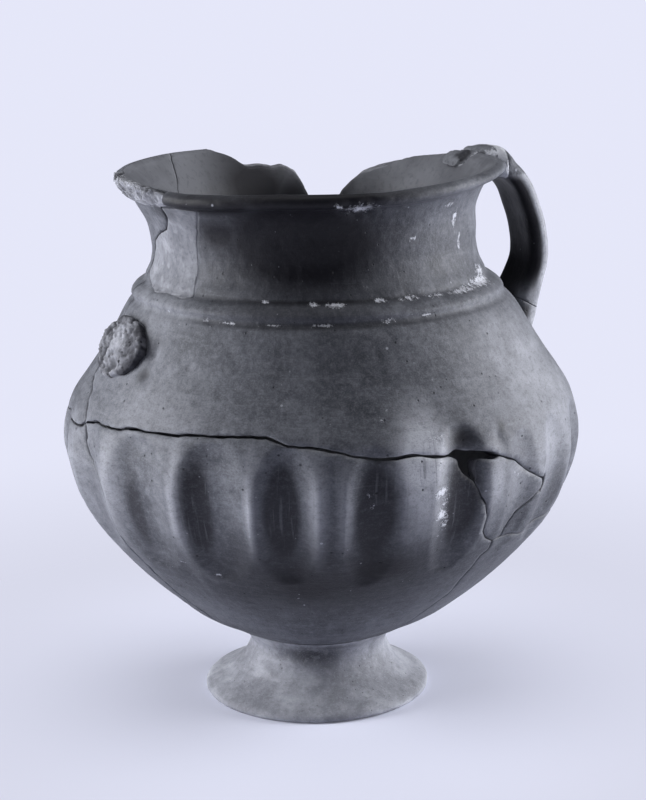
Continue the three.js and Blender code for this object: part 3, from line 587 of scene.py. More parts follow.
def swept(name, rings, materials, caps=(1, 1), attributes=None):
    """A closed body through rows of ring points, its ends closed by fans whose middle may be rough."""
    rings = np.asarray(rings)
    row_count, around = rings.shape[:2]
    points = rings.reshape(-1, 3)
    row, column = np.meshgrid(np.arange(row_count - 1), np.arange(around), indexing="ij")
    here = row * around + column
    right = row * around + (column + 1) % around
    faces = np.stack([here, right, right + around, here + around], -1).reshape(-1, 4)
    extra_points = []
    extra_faces = []
    base = len(points)
    for end, ring in ((0, rings[0]), (1, rings[-1])):
        centre = ring.mean(0)
        shrunk = [centre + (ring - centre) * share for share in (0.75, 0.45, 0.18)]
        start = 0 if end == 0 else (row_count - 1) * around
        previous = np.arange(around) + start
        for loop, shrink in enumerate(shrunk):
            rough = grain(shrink[:, 0] + 3 * shrink[:, 2], shrink[:, 1] * 2, 60 + loop + end, 2.2)[:, None]
            away = centre - rings[1 if end == 0 else -2].mean(0)
            away = away / (np.linalg.norm(away) + 1e-9)
            extra_points.append(shrink + away * rough * 0.5 * caps[end])
            current = base + np.arange(around)
            base += around
            quad = np.stack([previous, np.roll(previous, -1), np.roll(current, -1), current], -1)
            extra_faces.append(quad[:, ::-1] if end == 0 else quad)
            previous = current
        extra_points.append(centre[None])
        fan = np.stack([previous, np.roll(previous, -1), np.full(around, base), np.full(around, base)], -1)
        base += 1
        extra_faces.append(fan[:, ::-1] if end == 0 else fan)
    all_points = np.vstack([points] + extra_points)
    cap_faces = np.vstack(extra_faces)
    volume = 0.0
    for a, b, c in ((0, 1, 2), (0, 2, 3)):
        volume += np.sum(all_points[faces[:, a]] * np.cross(all_points[faces[:, b]], all_points[faces[:, c]]))
    if volume < 0:
        faces = faces[:, ::-1]
        cap_faces = cap_faces[:, ::-1]
    mesh_faces = [list(dict.fromkeys(face)) for face in np.vstack([faces, cap_faces]).tolist()]
    slots = np.concatenate([np.zeros(len(faces)), np.full(len(cap_faces), 2 if len(materials) > 2 else 0)])
    mesh = bpy.data.meshes.new(name)
    mesh.from_pydata((all_points * MM).tolist(), [], mesh_faces)
    mesh.polygons.foreach_set("material_index", slots.astype(np.int32))
    mesh.polygons.foreach_set("use_smooth", slots == 0)
    layer = mesh.attributes.new("place", "FLOAT_VECTOR", "POINT")
    layer.data.foreach_set("vector", (all_points * MM).astype(np.float32).ravel())
    for key, values in (attributes or {}).items():
        capped = (len(all_points) - values.size) // 2
        ends = [np.full(capped, values[0].mean()), np.full(capped, values[-1].mean())]
        full = np.concatenate([values.ravel(), *ends])
        layer = mesh.attributes.new(key, "FLOAT", "POINT")
        layer.data.foreach_set("value", full.astype(np.float32))
    for material in materials:
        mesh.materials.append(material)
    piece = bpy.data.objects.new(name, mesh)
    bpy.context.scene.collection.objects.link(piece)
    return piece


def join_into(piece, *others):
    """Other pieces' meshes become part of the first one."""
    with bpy.context.temp_override(active_object=piece, selected_editable_objects=[piece, *others]):
        bpy.ops.object.join()
    return piece


# Shader maths written as expressions on sockets

class Field:
    """A shader value, or a number, that arithmetic joins with Math nodes."""

    def __init__(self, tree, source):
        self.tree = tree
        self.source = source

    def feed(self, socket):
        if isinstance(self.source, bpy.types.NodeSocket):
            self.tree.links.new(self.source, socket)
        else:
            socket.default_value = self.source

    def combine(self, operation, *others, clamp=False):
        node = self.tree.nodes.new("ShaderNodeMath")
        node.operation = operation
        node.use_clamp = clamp
        for socket, value in zip(node.inputs, (self, *others)):
            field = value if isinstance(value, Field) else Field(self.tree, float(value))
            field.feed(socket)
        return Field(self.tree, node.outputs[0])

    def __add__(self, other):
        return self.combine("ADD", other)

    __radd__ = __add__

    def __mul__(self, other):
        return self.combine("MULTIPLY", other)

    __rmul__ = __mul__

    def __sub__(self, other):
        return self.combine("SUBTRACT", other)

    def __rsub__(self, other):
        return Field(self.tree, float(other)).combine("SUBTRACT", self)

    def __truediv__(self, other):
        return self.combine("DIVIDE", other)

    def __pow__(self, other):
        return self.combine("POWER", other)

    def clamped(self):
        return self.combine("ADD", 0.0, clamp=True)

    def rise(self, low, high):
        """0 below low, 1 above high, smooth between."""
        node = self.tree.nodes.new("ShaderNodeMapRange")
        node.interpolation_type = "SMOOTHSTEP"
        self.feed(node.inputs["Value"])
        node.inputs["From Min"].default_value = low
        node.inputs["From Max"].default_value = high
        return Field(self.tree, node.outputs["Result"])


class Finish:
    """One procedural material: its tree, and short ways to add nodes to it."""

    def __init__(self, name):
        self.material = bpy.data.materials.new(name)
        self.material.use_nodes = True
        self.tree = self.material.node_tree
        self.surface = self.tree.nodes["Principled BSDF"]
        self.surface.inputs["Specular IOR Level"].default_value = 0.3

    def node(self, kind, settings=None, **inputs):
        made = self.tree.nodes.new(kind)
        for key, value in (settings or {}).items():
            setattr(made, key, value)
        for key, value in inputs.items():
            socket = made.inputs[key.replace("_", " ")]
            if isinstance(value, Field):
                value.feed(socket)
            elif isinstance(value, bpy.types.NodeSocket):
                self.tree.links.new(value, socket)
            else:
                socket.default_value = value
        return made

    def attribute(self, name):
        return Field(self.tree, self.node("ShaderNodeAttribute", {"attribute_name": name}).outputs["Fac"])

    def place(self, scale=(1, 1, 1)):
        source = self.node("ShaderNodeAttribute", {"attribute_name": "place"}).outputs["Vector"]
        made = self.node("ShaderNodeVectorMath", {"operation": "MULTIPLY"})
        self.tree.links.new(source, made.inputs[0])
        made.inputs[1].default_value = scale
        return made.outputs["Vector"]

    def noise(self, scale, detail=4.0, stretch=(1, 1, 1), roughness=0.55, distortion=0.0):
        made = self.node("ShaderNodeTexNoise", Vector=self.place(stretch), Scale=scale, Detail=detail,
                         Roughness=roughness, Distortion=distortion)
        return Field(self.tree, made.outputs["Fac"])

    def specks(self, scale, size, share):
        """Small round specks: near cell middles, in the given share of the cells."""
        made = self.node("ShaderNodeTexVoronoi", Vector=self.place(), Scale=scale)
        near = 1 - Field(self.tree, made.outputs["Distance"]).rise(size * 0.6, size)
        split = self.node("ShaderNodeSeparateColor")
        self.tree.links.new(made.outputs["Color"], split.inputs[0])
        chosen = 1 - Field(self.tree, split.outputs[0]).rise(share, share + 0.02)
        return near * chosen

    def mix(self, amount, low, high):
        made = self.node("ShaderNodeMix", {"data_type": "RGBA"})
        amount.feed(made.inputs["Factor"])
        for socket, value in zip((made.inputs[6], made.inputs[7]), (low, high)):
            if isinstance(value, bpy.types.NodeSocket):
                self.tree.links.new(value, socket)
            else:
                socket.default_value = (*value, 1.0)
        return made.outputs[2]

    def bump(self, height, strength, distance, normal=None):
        made = self.node("ShaderNodeBump", Strength=strength, Distance=distance, Height=height)
        if normal is not None:
            self.tree.links.new(normal, made.inputs["Normal"])
        return made.outputs["Normal"]

    def finish(self, colour, roughness, normal):
        self.tree.links.new(colour, self.surface.inputs["Base Color"])
        roughness.feed(self.surface.inputs["Roughness"])
        self.tree.links.new(normal, self.surface.inputs["Normal"])
        return self.material


def burnished_clay():
    """Dark clay rubbed smooth: mottled, with strokes round the pot, pits, scratches and white deposits, painted shade
    in the flutes and over blackened parts, and painted highlights on the crests.
    """
    finish = Finish("burnished_clay")
    finish.surface.inputs["Specular IOR Level"].default_value = 0.16
    cloud = finish.noise(24, 5)
    blotch = finish.noise(95, 6, roughness=0.65)
    mottle = finish.noise(430, 5, roughness=0.72)
    sand = finish.noise(1500, 3, roughness=0.7)
    strokes = finish.noise(110, 4, (0.35, 2.4, 1), distortion=0.4)
    scratches = finish.noise(260, 3, (0.12, 2.8, 1), distortion=0.6)
    pits = finish.specks(300, 0.15, 0.16)
    dots = finish.specks(360, 0.12, 0.07)
    crumbs = finish.specks(150, 0.10, 0.05)
    lime = finish.attribute("lime")
    wash = finish.attribute("wash")
    blackening_and_shade = finish.attribute("blackening_and_shade")
    edge = finish.attribute("edge")
    flute_soot_and_shade = finish.attribute("flute_soot_and_shade")
    crest_wear_and_highlight = finish.attribute("crest_wear_and_highlight")
    tone = finish.mix(cloud.rise(0.34, 0.68), (0.066, 0.069, 0.080), (0.128, 0.133, 0.151))
    patchy = finish.noise(190, 5, roughness=0.7, distortion=0.3)
    tone = finish.mix(patchy.rise(0.48, 0.72) * 0.2, tone, (0.20, 0.206, 0.23))
    tone = finish.mix((1 - patchy).rise(0.48, 0.72) * 0.24, tone, (0.03, 0.031, 0.038))
    tone = finish.mix(blotch.rise(0.50, 0.72) * 0.5, tone, (0.19, 0.196, 0.22))
    tone = finish.mix((1 - blotch).rise(0.54, 0.72) * 0.55, tone, (0.038, 0.040, 0.048))
    tone = finish.mix(strokes.rise(0.52, 0.74) * 0.28, tone, (0.19, 0.196, 0.22))
    # Soot with painted shade in the flutes, drawn near black
    sooted_and_shaded = (flute_soot_and_shade + 0.5 * (blotch - 0.5)).rise(0.1, 0.95)
    tone = finish.mix((sooted_and_shaded * (0.6 + 0.4 * blotch)).clamped(), tone, (0.013, 0.012, 0.016))
    # Wear with a painted highlight: the crests drawn pale
    tone = finish.mix((crest_wear_and_highlight * (0.45 + 0.7 * blotch)).clamped(), tone, (0.48, 0.49, 0.53))
    rubs = finish.noise(230, 3, (2.8, 0.16, 1), distortion=0.3)
    handled = (flute_soot_and_shade + crest_wear_and_highlight).clamped()
    tone = finish.mix(rubs.rise(0.58, 0.70) * handled * 0.22, tone, (0.30, 0.308, 0.335))
    tone = finish.mix((1 - rubs).rise(0.58, 0.70) * handled * 0.35, tone, (0.03, 0.03, 0.037))
    # Firing blackening with painted shade, drawn near black
    blackened_and_shaded = (blackening_and_shade * (0.75 + 0.6 * cloud)).clamped()
    tone = finish.mix(blackened_and_shaded * 0.97, tone, (0.007, 0.0065, 0.009))
    washed = wash * (0.4 + 0.6 * blotch.rise(0.3, 0.62))
    tone = finish.mix(washed.clamped(), tone, (0.225, 0.232, 0.256))
    bare = (1 - 0.93 * blackened_and_shaded) * (1 - 0.6 * sooted_and_shaded)
    tone = finish.mix(mottle.rise(0.46, 0.70) * 0.3 * bare, tone, (0.23, 0.237, 0.26))
    tone = finish.mix((1 - mottle).rise(0.46, 0.70) * 0.36 * bare, tone, (0.026, 0.026, 0.033))
    tone = finish.mix(sand.rise(0.48, 0.70) * 0.18 * bare, tone, (0.27, 0.28, 0.31))
    tone = finish.mix((1 - sand).rise(0.48, 0.70) * 0.28 * bare, tone, (0.02, 0.02, 0.026))
    tone = finish.mix(scratches.rise(0.66, 0.74) * 0.2 * bare, tone, (0.27, 0.276, 0.30))
    crust = (lime + 2.2 * mottle + 1.4 * sand).rise(2.38, 2.8) * lime.rise(0.05, 0.25) * 0.9
    tone = finish.mix(crust, tone, (0.56, 0.57, 0.62))
    tone = finish.mix((dots * 0.5 * cloud + crumbs * 0.45).clamped(), tone, (0.48, 0.49, 0.54))
    tone = finish.mix((edge * edge * 0.16).clamped(), tone, (0.20, 0.205, 0.225))
    tone = finish.mix((pits * 0.7).clamped(), tone, (0.012, 0.012, 0.016))
    rough = 0.36 + 0.14 * cloud + 0.14 * mottle + 0.3 * crust + 0.2 * washed + 0.1 * blotch - 0.1 * blackened_and_shaded
    height = 0.8 * blotch + 0.35 * strokes + 0.3 * mottle + 0.12 * sand + 0.5 * crust - 0.8 * pits
    normal = finish.bump(height, 0.75, 0.0006)
    return finish.finish(tone, rough, normal)


def inner_clay():
    """The inside wall: the same clay, wiped rather than rubbed, a little paler and duller, with painted shade drawn
    dark where the inside lies in shade.
    """
    finish = Finish("inner_clay")
    cloud = finish.noise(30, 5)
    wiped = finish.noise(70, 4, (0.22, 2.6, 1))
    speck = finish.noise(420, 4)
    tone = finish.mix(cloud.rise(0.36, 0.66), (0.105, 0.108, 0.122), (0.175, 0.18, 0.20))
    tone = finish.mix(wiped.rise(0.5, 0.75) * 0.4, tone, (0.235, 0.24, 0.265))
    tone = finish.mix(speck.rise(0.5, 0.7) * 0.3, tone, (0.045, 0.046, 0.055))
    # Painted shade on the inside wall, drawn near black
    inner_shade = (finish.attribute("blackening_and_shade") * (0.8 + 0.5 * cloud)).clamped()
    tone = finish.mix(inner_shade, tone, (0.014, 0.0135, 0.018))
    height = 0.7 * wiped + 0.3 * speck
    return finish.finish(tone, 0.52 + 0.2 * cloud, finish.bump(height, 0.5, 0.0005))


def broken_clay(name="broken_clay", low=(0.10, 0.10, 0.115), high=(0.26, 0.265, 0.29)):
    """A fracture through the clay: matt, gritty, with pale and dark grains."""
    finish = Finish(name)
    grit = finish.noise(330, 6, roughness=0.75)
    cloud = finish.noise(70, 4)
    dark = finish.specks(430, 0.26, 0.22)
    tone = finish.mix(cloud.rise(0.34, 0.66), low, high)
    tone = finish.mix(grit.rise(0.55, 0.72) * 0.7, tone, tuple(1.5 * value for value in high))
    tone = finish.mix(dark * 0.85, tone, (0.028, 0.028, 0.034))
    # Darker with the blackening and painted shade of the wall beside it, and in the low spots of the scars
    tone = finish.mix((finish.attribute("blackening_and_shade") * (0.6 + 0.7 * grit)).clamped(), tone, (0.03, 0.03, 0.037))
    height = grit - 0.6 * dark
    return finish.finish(tone, 0.92 - 0.1 * cloud, finish.bump(height, 0.9, 0.0009))


def plaster_fill():
    """Toned plaster, brushed on: speckled grey over a paler ground, nearly matt."""
    finish = Finish("plaster_fill")
    cloud = finish.noise(60, 5)
    speckle = finish.noise(520, 5, roughness=0.7)
    brush = finish.noise(150, 4, (1, 1.3, 1))
    tone = finish.mix(cloud.rise(0.34, 0.66), (0.14, 0.144, 0.162), (0.23, 0.236, 0.26))
    tone = finish.mix(speckle.rise(0.48, 0.64) * 0.5, tone, (0.08, 0.082, 0.095))
    tone = finish.mix(brush.rise(0.50, 0.66) * 0.45, tone, (0.33, 0.338, 0.365))
    # Darker where painted shade falls across the patch
    tone = finish.mix((finish.attribute("blackening_and_shade") * 0.8).clamped(), tone, (0.05, 0.051, 0.06))
    return finish.finish(tone, 0.68 + 0.16 * cloud, finish.bump(0.6 * speckle + brush, 0.6, 0.0004))


def white_plaster():
    finish = Finish("white_plaster")
    cloud = finish.noise(110, 5)
    speckle = finish.noise(480, 5, roughness=0.7)
    pale = (finish.attribute("lime") + 0.9 * (cloud - 0.5)).rise(0.3, 0.7)
    tone = finish.mix(cloud.rise(0.36, 0.62), (0.13, 0.133, 0.15), (0.27, 0.276, 0.305))
    tone = finish.mix(pale * 0.85, tone, (0.56, 0.57, 0.61))
    tone = finish.mix(speckle.rise(0.54, 0.68) * 0.5, tone, (0.12, 0.122, 0.138))
    return finish.finish(tone, 0.85 + 0.05 * cloud, finish.bump(speckle + cloud, 0.8, 0.0006))


def foot_clay():
    """The foot: rubbed down to pale streaky clay, with darker smears, pits, and painted shadow on the front of its
    waist.
    """
    finish = Finish("foot_clay")
    cloud = finish.noise(34, 5)
    streak = finish.noise(85, 5, (0.8, 0.8, 2.6), distortion=0.2)
    blot = finish.noise(210, 5, roughness=0.7)
    speck = finish.noise(520, 5, roughness=0.75)
    sand = finish.noise(1500, 3, roughness=0.7)
    pits = finish.specks(420, 0.17, 0.16)
    blackening_and_shade = finish.attribute("blackening_and_shade")
    tone = finish.mix(cloud.rise(0.38, 0.62), (0.20, 0.205, 0.232), (0.35, 0.36, 0.40))
    tone = finish.mix(streak.rise(0.5, 0.72) * 0.36, tone, (0.52, 0.53, 0.58))
    tone = finish.mix((1 - streak).rise(0.55, 0.74) * 0.3, tone, (0.12, 0.122, 0.14))
    # Smears, with the painted shadow of the belly, drawn dark
    tone = finish.mix((blackening_and_shade * (0.55 + 0.7 * cloud)).clamped(), tone, (0.03, 0.03, 0.036))
    tone = finish.mix(blot.rise(0.46, 0.70) * 0.24, tone, (0.46, 0.47, 0.51))
    tone = finish.mix((1 - blot).rise(0.46, 0.70) * 0.34, tone, (0.11, 0.112, 0.128))
    tone = finish.mix(speck.rise(0.54, 0.68) * 0.4, tone, (0.09, 0.092, 0.106))
    tone = finish.mix(sand.rise(0.50, 0.72) * 0.2, tone, (0.50, 0.51, 0.55))
    tone = finish.mix(pits * 0.45, tone, (0.05, 0.05, 0.058))
    height = streak + 0.5 * speck + 0.2 * sand - 0.8 * pits
    return finish.finish(tone, 0.55 + 0.2 * cloud, finish.bump(height, 0.7, 0.0006))


def floor_paper():
    """Pale paper. Away from the jar the camera sees it evenly bright, as a lit studio background; nearer than about 0.4
    m that seen brightness dims towards the jar as painted shade.
    """
    finish = Finish("floor_paper")
    tree = finish.tree
    cloud = finish.noise(3, 2)
    tone = finish.mix(cloud.rise(0.3, 0.7), (0.715, 0.729, 0.85), (0.722, 0.737, 0.858))
    finish.finish(tone, 0.95 + 0.02 * cloud, finish.bump(cloud, 0.02, 0.0001))
    source = finish.node("ShaderNodeAttribute", {"attribute_name": "place"}).outputs["Vector"]
    length = finish.node("ShaderNodeVectorMath", {"operation": "LENGTH"})
    tree.links.new(source, length.inputs[0])
    away = Field(tree, length.outputs["Value"])
    camera_ray = Field(tree, finish.node("ShaderNodeLightPath").outputs["Is Camera Ray"])
    glow = finish.node("ShaderNodeEmission", Strength=1.0)
    # Painted shade: the glow the camera sees is dimmer near the jar
    tree.links.new(finish.mix(away.rise(0.13, 0.42), (0.675, 0.688, 0.815), (0.785, 0.80, 0.945)), glow.inputs["Color"])
    blend = finish.node("ShaderNodeMixShader")
    (camera_ray * away.rise(0.0, 0.2)).feed(blend.inputs[0])
    tree.links.new(finish.surface.outputs[0], blend.inputs[1])
    tree.links.new(glow.outputs[0], blend.inputs[2])
    tree.links.new(blend.outputs[0], tree.nodes["Material Output"].inputs["Surface"])
    return finish.material


CLAY = burnished_clay()
INNER = inner_clay()
BROKEN = broken_clay()
SCAR = broken_clay("scar_clay", (0.12, 0.122, 0.137), (0.36, 0.367, 0.40))
FILL = plaster_fill()
WHITE = white_plaster()
FOOT = foot_clay()
SHERD_FINISHES = [CLAY, INNER, BROKEN]


def settle(piece, slot, *nodes):
    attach(piece, "root")
    if nodes:
        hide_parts(*nodes)
    return piece


# Break lines, each made ragged once so that both neighbours share it, with the width of the gap there
WIDE_GAP = 0.95
THIN_GAP = 0.42
GLUED_GAP = 0.04
BREAKS = {
    "belly": (BELLY_BREAK, WIDE_GAP), "hole_low": (HOLE_LOW, WIDE_GAP), "hole_top": (HOLE_TOP, WIDE_GAP),
    "hole_right": (HOLE_RIGHT, WIDE_GAP), "side": (SHERD_SIDE, THIN_GAP), "top": (SHERD_TOP, 0.6),
    "notch_out": (NOTCH_OUTER, WIDE_GAP), "notch_in": (NOTCH_INNER, WIDE_GAP), "right": (SHERD_RIGHT, THIN_GAP),
    "tip": (SHERD_TIP, THIN_GAP), "low": (LOW_BREAK, THIN_GAP), "back": (BACK_BREAK, THIN_GAP),
    "back_left": (BACK_LEFT_BREAK, THIN_GAP), "bowl_left": (BOWL_LEFT, 0.3), "bowl_front": (BOWL_FRONT, 0.2),
    "neck_low": (NECK_LEFT_LOW, 0.25), "neck_high": (NECK_LEFT_HIGH, 0.6), "neck_lip": (NECK_LEFT_LIP, 0.3),
    "fill": (FILL_EDGE, GLUED_GAP), "neck_back": (NECK_BACK, THIN_GAP), "rear": (REAR_BREAK, THIN_GAP),
    "gap_right": (GAP_RIGHT, 0.1), "gap_left": (GAP_LEFT, 0.1),
}
lines = {
    name: ragged(points, LINE_SEED + number, gap)
    for number, (name, (points, gap)) in enumerate(BREAKS.items())
}
meeting = int(np.argmin(np.abs(lines["belly"][:, 0] + 175.6)))
belly_left = lines["belly"][:meeting + 1]
belly_right = lines["belly"][meeting:]
for key in ("bowl_left", "neck_low"):
    lines[key][0, :2] = lines["belly"][meeting, :2]
LIP_STEPS = 60


def lip_run(from_angle, to_angle):
    """The lip between two angles, a little above the wall's top so that no cell is cut there."""
    steps = np.linspace(from_angle, to_angle, LIP_STEPS)
    return np.column_stack([steps, np.full(LIP_STEPS, TOP_LENGTH + 3), np.zeros(LIP_STEPS)])


def under_bowl(angle):
    """A point past the middle of the bowl's underside."""
    return np.array([[angle, -3.0, 0.0]])


def bowl_front_outline():
    return np.vstack([
        joined(backwards(lines["bowl_left"]), belly_right, lines["hole_low"], lines["side"]),
        lines["bowl_front"], under_bowl(-76), under_bowl(-160),
    ])


def bowl_back_outline():
    return np.vstack([
        under_bowl(-76),
        joined(backwards(lines["bowl_front"]), backwards(lines["tip"]), lines["low"], lines["back"], lines["back_left"],
               once_round(belly_left)),
        once_round(lines["bowl_left"]), under_bowl(200),
    ])


def rib_sherd_outline():
    return joined(lines["hole_right"], lines["top"], lines["notch_in"], lines["right"], lines["tip"],
                  backwards(lines["side"]))


def shoulder_front_outline():
    return np.vstack([
        joined(backwards(belly_right), lines["neck_low"], backwards(lines["fill"])),
        lines["neck_lip"], lip_run(-163.8, 12),
        joined(backwards(lines["gap_right"]), lines["rear"], backwards(lines["low"]), backwards(lines["right"]),
               backwards(lines["notch_out"]), backwards(lines["top"]), backwards(lines["hole_top"])),
    ])


def shoulder_back_outline():
    return np.vstack([
        backwards(lines["rear"])[:-1], lines["gap_left"], lip_run(104.5, 120.5),
        joined(backwards(lines["neck_back"]), backwards(lines["back"])),
    ])


def shoulder_left_outline():
    return np.vstack([
        lines["neck_back"][:-1], lip_run(120.5, 196.2),
        joined(once_round(backwards(lines["neck_lip"])), once_round(backwards(lines["neck_high"])),
               once_round(backwards(lines["neck_low"])), once_round(backwards(belly_left)), backwards(lines["back_left"])),
    ])


def neck_fill_outline():
    return joined(lines["neck_high"], lines["fill"])


# The strap handle and its chipped root on the lip, along a line in the XZ plane:
# [x, z, near side, far side, thickness]
STRAP = np.array([
    [61.2, 202.6, 3.4, 12.6, 4.6], [62.2, 203.5, 1.4, 14.2, 8.4], [63.8, 203.9, -0.6, 14.8, 11.4],
    [66, 204.0, -2.4, 14.8, 12.6], [69, 204.3, -4, 14.4, 12.4], [72, 205.2, -6, 14.1, 12],
    [74.4, 205.1, -9, 13.3, 12],
    [76.2, 204.1, -11.6, 12.5, 9.5], [78.6, 201.8, -11.6, 11.9, 8.2], [82, 198.8, -11.4, 11.6, 7.9],
    [85.4, 194.2, -11.2, 11.2, 7.8], [88, 188.4, -11.2, 11.2, 7.8], [90.1, 182.5, -11.2, 11.2, 7.8],
    [91.5, 176.2, -11.2, 11.2, 7.8], [92.3, 170.4, -11.2, 11.2, 7.9], [92, 164.5, -11.3, 11.3, 8.1],
    [90, 158.5, -11.8, 11.8, 8.4], [87, 151.5, -13, 13, 9.2], [83.8, 144, -15, 15, 10.2],
    [79.5, 136, -17, 17, 10.8], [74.5, 130, -18.5, 18.5, 10.8],
])
STRAP_ROWS = 150
STRAP_AROUND = 72
TOP_BREAK_X = 74.0
PLASTER_WIDTH = 2.8
JOIN_POINT = np.array([85.8, 149.0])
JOIN_NORMAL = np.array([0.496, 0.868])


def strap_ring(x, z, near, far, thickness, run, row):
    """One section of the strap: a rounded oblong, hollowed a little on the side facing the neck.

    On the lip it is a chipped block with an uneven top.
    """
    turn = np.linspace(0, 2 * math.pi, STRAP_AROUND, endpoint=False)
    width = far - near
    across = np.sign(np.cos(turn)) * np.abs(np.cos(turn)) ** 0.36 * width / 2
    out = np.sign(np.sin(turn)) * np.abs(np.sin(turn)) ** 0.62 * thickness / 2
    chipped = np.clip((75 - x) / 3.5, 0, 1) * (z > 190)
    notch = 1.4 * np.exp(-((x - 70.2) / 0.7) ** 2) * chipped
    hollow = np.where(out < 0, 0.7 * np.exp(-(across / (0.3 * width)) ** 2), 0) * (1 - chipped)
    spots = np.stack([np.full_like(across, x), across + (near + far) / 2, out], -1)
    rough = 0.9 * lumps(spots, 81, 4.2) + 0.5 * lumps(spots, 84, 1.7) - 0.7
    out = out + hollow + 0.18 * grain(across + 40, np.full_like(across, row * 0.42), 31, 5.0)
    aslant = 1.5 * np.clip((across + (near + far) / 2 + 4) / 14, 0, 1)
    out = out + (chipped * (np.minimum(rough, 0.1) - aslant) - notch) * np.clip(out, 0, 3) / 3
    across = across + 0.16 * grain(out + 20, np.full_like(across, row * 0.42), 33, 4.0)
    across = across * (1 + 0.05 * chipped * rough)
    across = across + 3.5 * chipped * np.clip(0.5 - out / thickness, 0, 1) * (across > 0)
    return np.stack([x - run[1] * out, across + (near + far) / 2, z + run[0] * out], -1)


def strap_rings():
    line = smooth_curve(STRAP, STRAP_ROWS)
    runs = np.gradient(line[:, :2], axis=0)
    runs /= np.linalg.norm(runs, axis=1)[:, None]
    return line, np.array([strap_ring(*line[row], runs[row], row) for row in range(STRAP_ROWS)])


def cut_rings(rings, keep, plane_point, plane_normal, gap):
    """The rings with their lines ended where they cross the plane of a break, on the side that is kept."""
    along = (rings[..., 0] - plane_point[0]) * plane_normal[0] + (rings[..., 2] - plane_point[1]) * plane_normal[1]
    within = keep * along - gap
    moved = rings.copy()
    for column in range(rings.shape[1]):
        kept = np.flatnonzero(within[:, column] >= 0)
        if len(kept) == 0:
            continue
        for edge, outside in ((kept[0], kept[0] - 1), (kept[-1], kept[-1] + 1)):
            if 0 <= outside < len(rings):
                depth = within[edge, column]
                share = depth / (depth - within[outside, column])
                crossing = rings[edge, column] + share * (rings[outside, column] - rings[edge, column])
                beyond = slice(0, edge) if outside < edge else slice(outside, None)
                moved[beyond, column] = crossing
    return moved, (within < 0).all(axis=1)


def strap_marks(rings):
    """Masks on the strap: painted shade on the face turned to the neck and on the chipped block's near face, a painted
    highlight along the near edge, plaster smears by both joins.
    """
    x, y, z = np.moveaxis(rings, -1, 0)
    centre = rings.mean(axis=1, keepdims=True)
    # Painted shade on the face turned to the neck
    inward = np.clip((centre[..., 0] - x) / 1.6 + 0.5, 0, 1) * np.clip((202 - z) / 5, 0, 1) * (x > 77)
    side = np.clip((y.min(axis=1, keepdims=True) + 4 - y) / 3, 0, 1)
    on_lip = (x < 77) & (z > 190)
    above_ridge = z - 202.9 - 1.03 * (x - 61.9)
    # A pale line along the ridge of the chipped block
    ridge = np.exp(-(above_ridge / 0.8) ** 2) * side * np.clip((69 - x) / 1.5, 0, 1)
    # Painted shade on the chipped block's near face, along its top and in its notch
    shaded = np.clip(above_ridge, 0, 1) * np.clip((8 - y) / 2, 0, 1) * np.clip((x - 61.6) / 0.8, 0, 1)
    shaded = np.maximum(1.1 * shaded * np.clip((70.5 - x) / 1.5, 0, 1), 0.85 * np.clip((z - 210.1) / 0.5, 0, 1) * (x > 65))
    shaded = np.maximum(shaded, np.exp(-((x - 70.2) / 0.9) ** 2) * side) * on_lip * np.clip((74.5 - x) / 1.5, 0, 1)
    patch_of_white = np.exp(-((x - 72) / 2.4) ** 2 - ((z - 208.4) / 2.6) ** 2) * side
    band_of_white = np.exp(-((x - 75.2) / 1.8) ** 2) * np.clip(side + 0.5, 0, 1) * on_lip
    white = 1.6 * np.maximum(patch_of_white, band_of_white)
    low = np.exp(-((z - 152.5) / 4) ** 2 - ((y + 13) / 9) ** 2)
    return {
        "blackening_and_shade": np.clip(1.1 * inward + 0.66 * shaded * (1 - ridge), 0, 1),
        "wash": np.clip(white + 0.9 * low + 0.9 * ridge + 0.6 * on_lip * (1 - shaded), 0, 1),
        "lime": np.clip(white + 0.9 * ridge, 0, 1),
        # Painted highlight along the near edge of the strap
        "crest_wear_and_highlight": 0.7 * np.clip((-y - 8) / 3, 0, 1) * (1 - inward) * (z < 200),
    }


def strap_body(name, rings, materials):
    piece = swept(name, rings, materials, attributes=strap_marks(rings))
    merge_close(piece)
    return piece


def strap_pieces():
    line, rings = strap_rings()
    top_normal = np.array([1.0, 0.0])
    top_point = np.array([TOP_BREAK_X, 205.0])
    far_point = np.array([TOP_BREAK_X + PLASTER_WIDTH, 205.0])
    half = STRAP_ROWS // 2

    body, above = cut_rings(rings, 1, far_point, top_normal, 0.04)
    body[half:], below = cut_rings(rings[half:], 1, JOIN_POINT, JOIN_NORMAL, 0.12)
    first = max(int(np.argmax(~above[:half])) - 1, 0)
    last = half + int(np.argmax(below)) if below.any() else STRAP_ROWS - 1
    handle = strap_body("handle_strap", body[first:last + 1], SHERD_FINISHES)

    root, beyond = cut_rings(rings[:half], -1, top_point, top_normal, 0.0)
    top_root = strap_body("handle_top_root", root[:int(np.argmax(beyond)) + 1], SHERD_FINISHES)

    middle, before = cut_rings(rings[:half], 1, top_point, top_normal, 0.04)
    middle, after = cut_rings(middle, -1, far_point, top_normal, 0.0)
    start = max(int(np.argmax(~before)) - 1, 0)
    fill = strap_body("handle_plaster", middle[start:int(np.argmax(after)) + 1], [WHITE])

    low, over = cut_rings(rings[half:], -1, JOIN_POINT, JOIN_NORMAL, 0.12)
    low_root = strap_body("handle_low_root", low[max(int(np.argmax(~over)) - 1, 0):], SHERD_FINISHES)
    return handle, fill, top_root, low_root


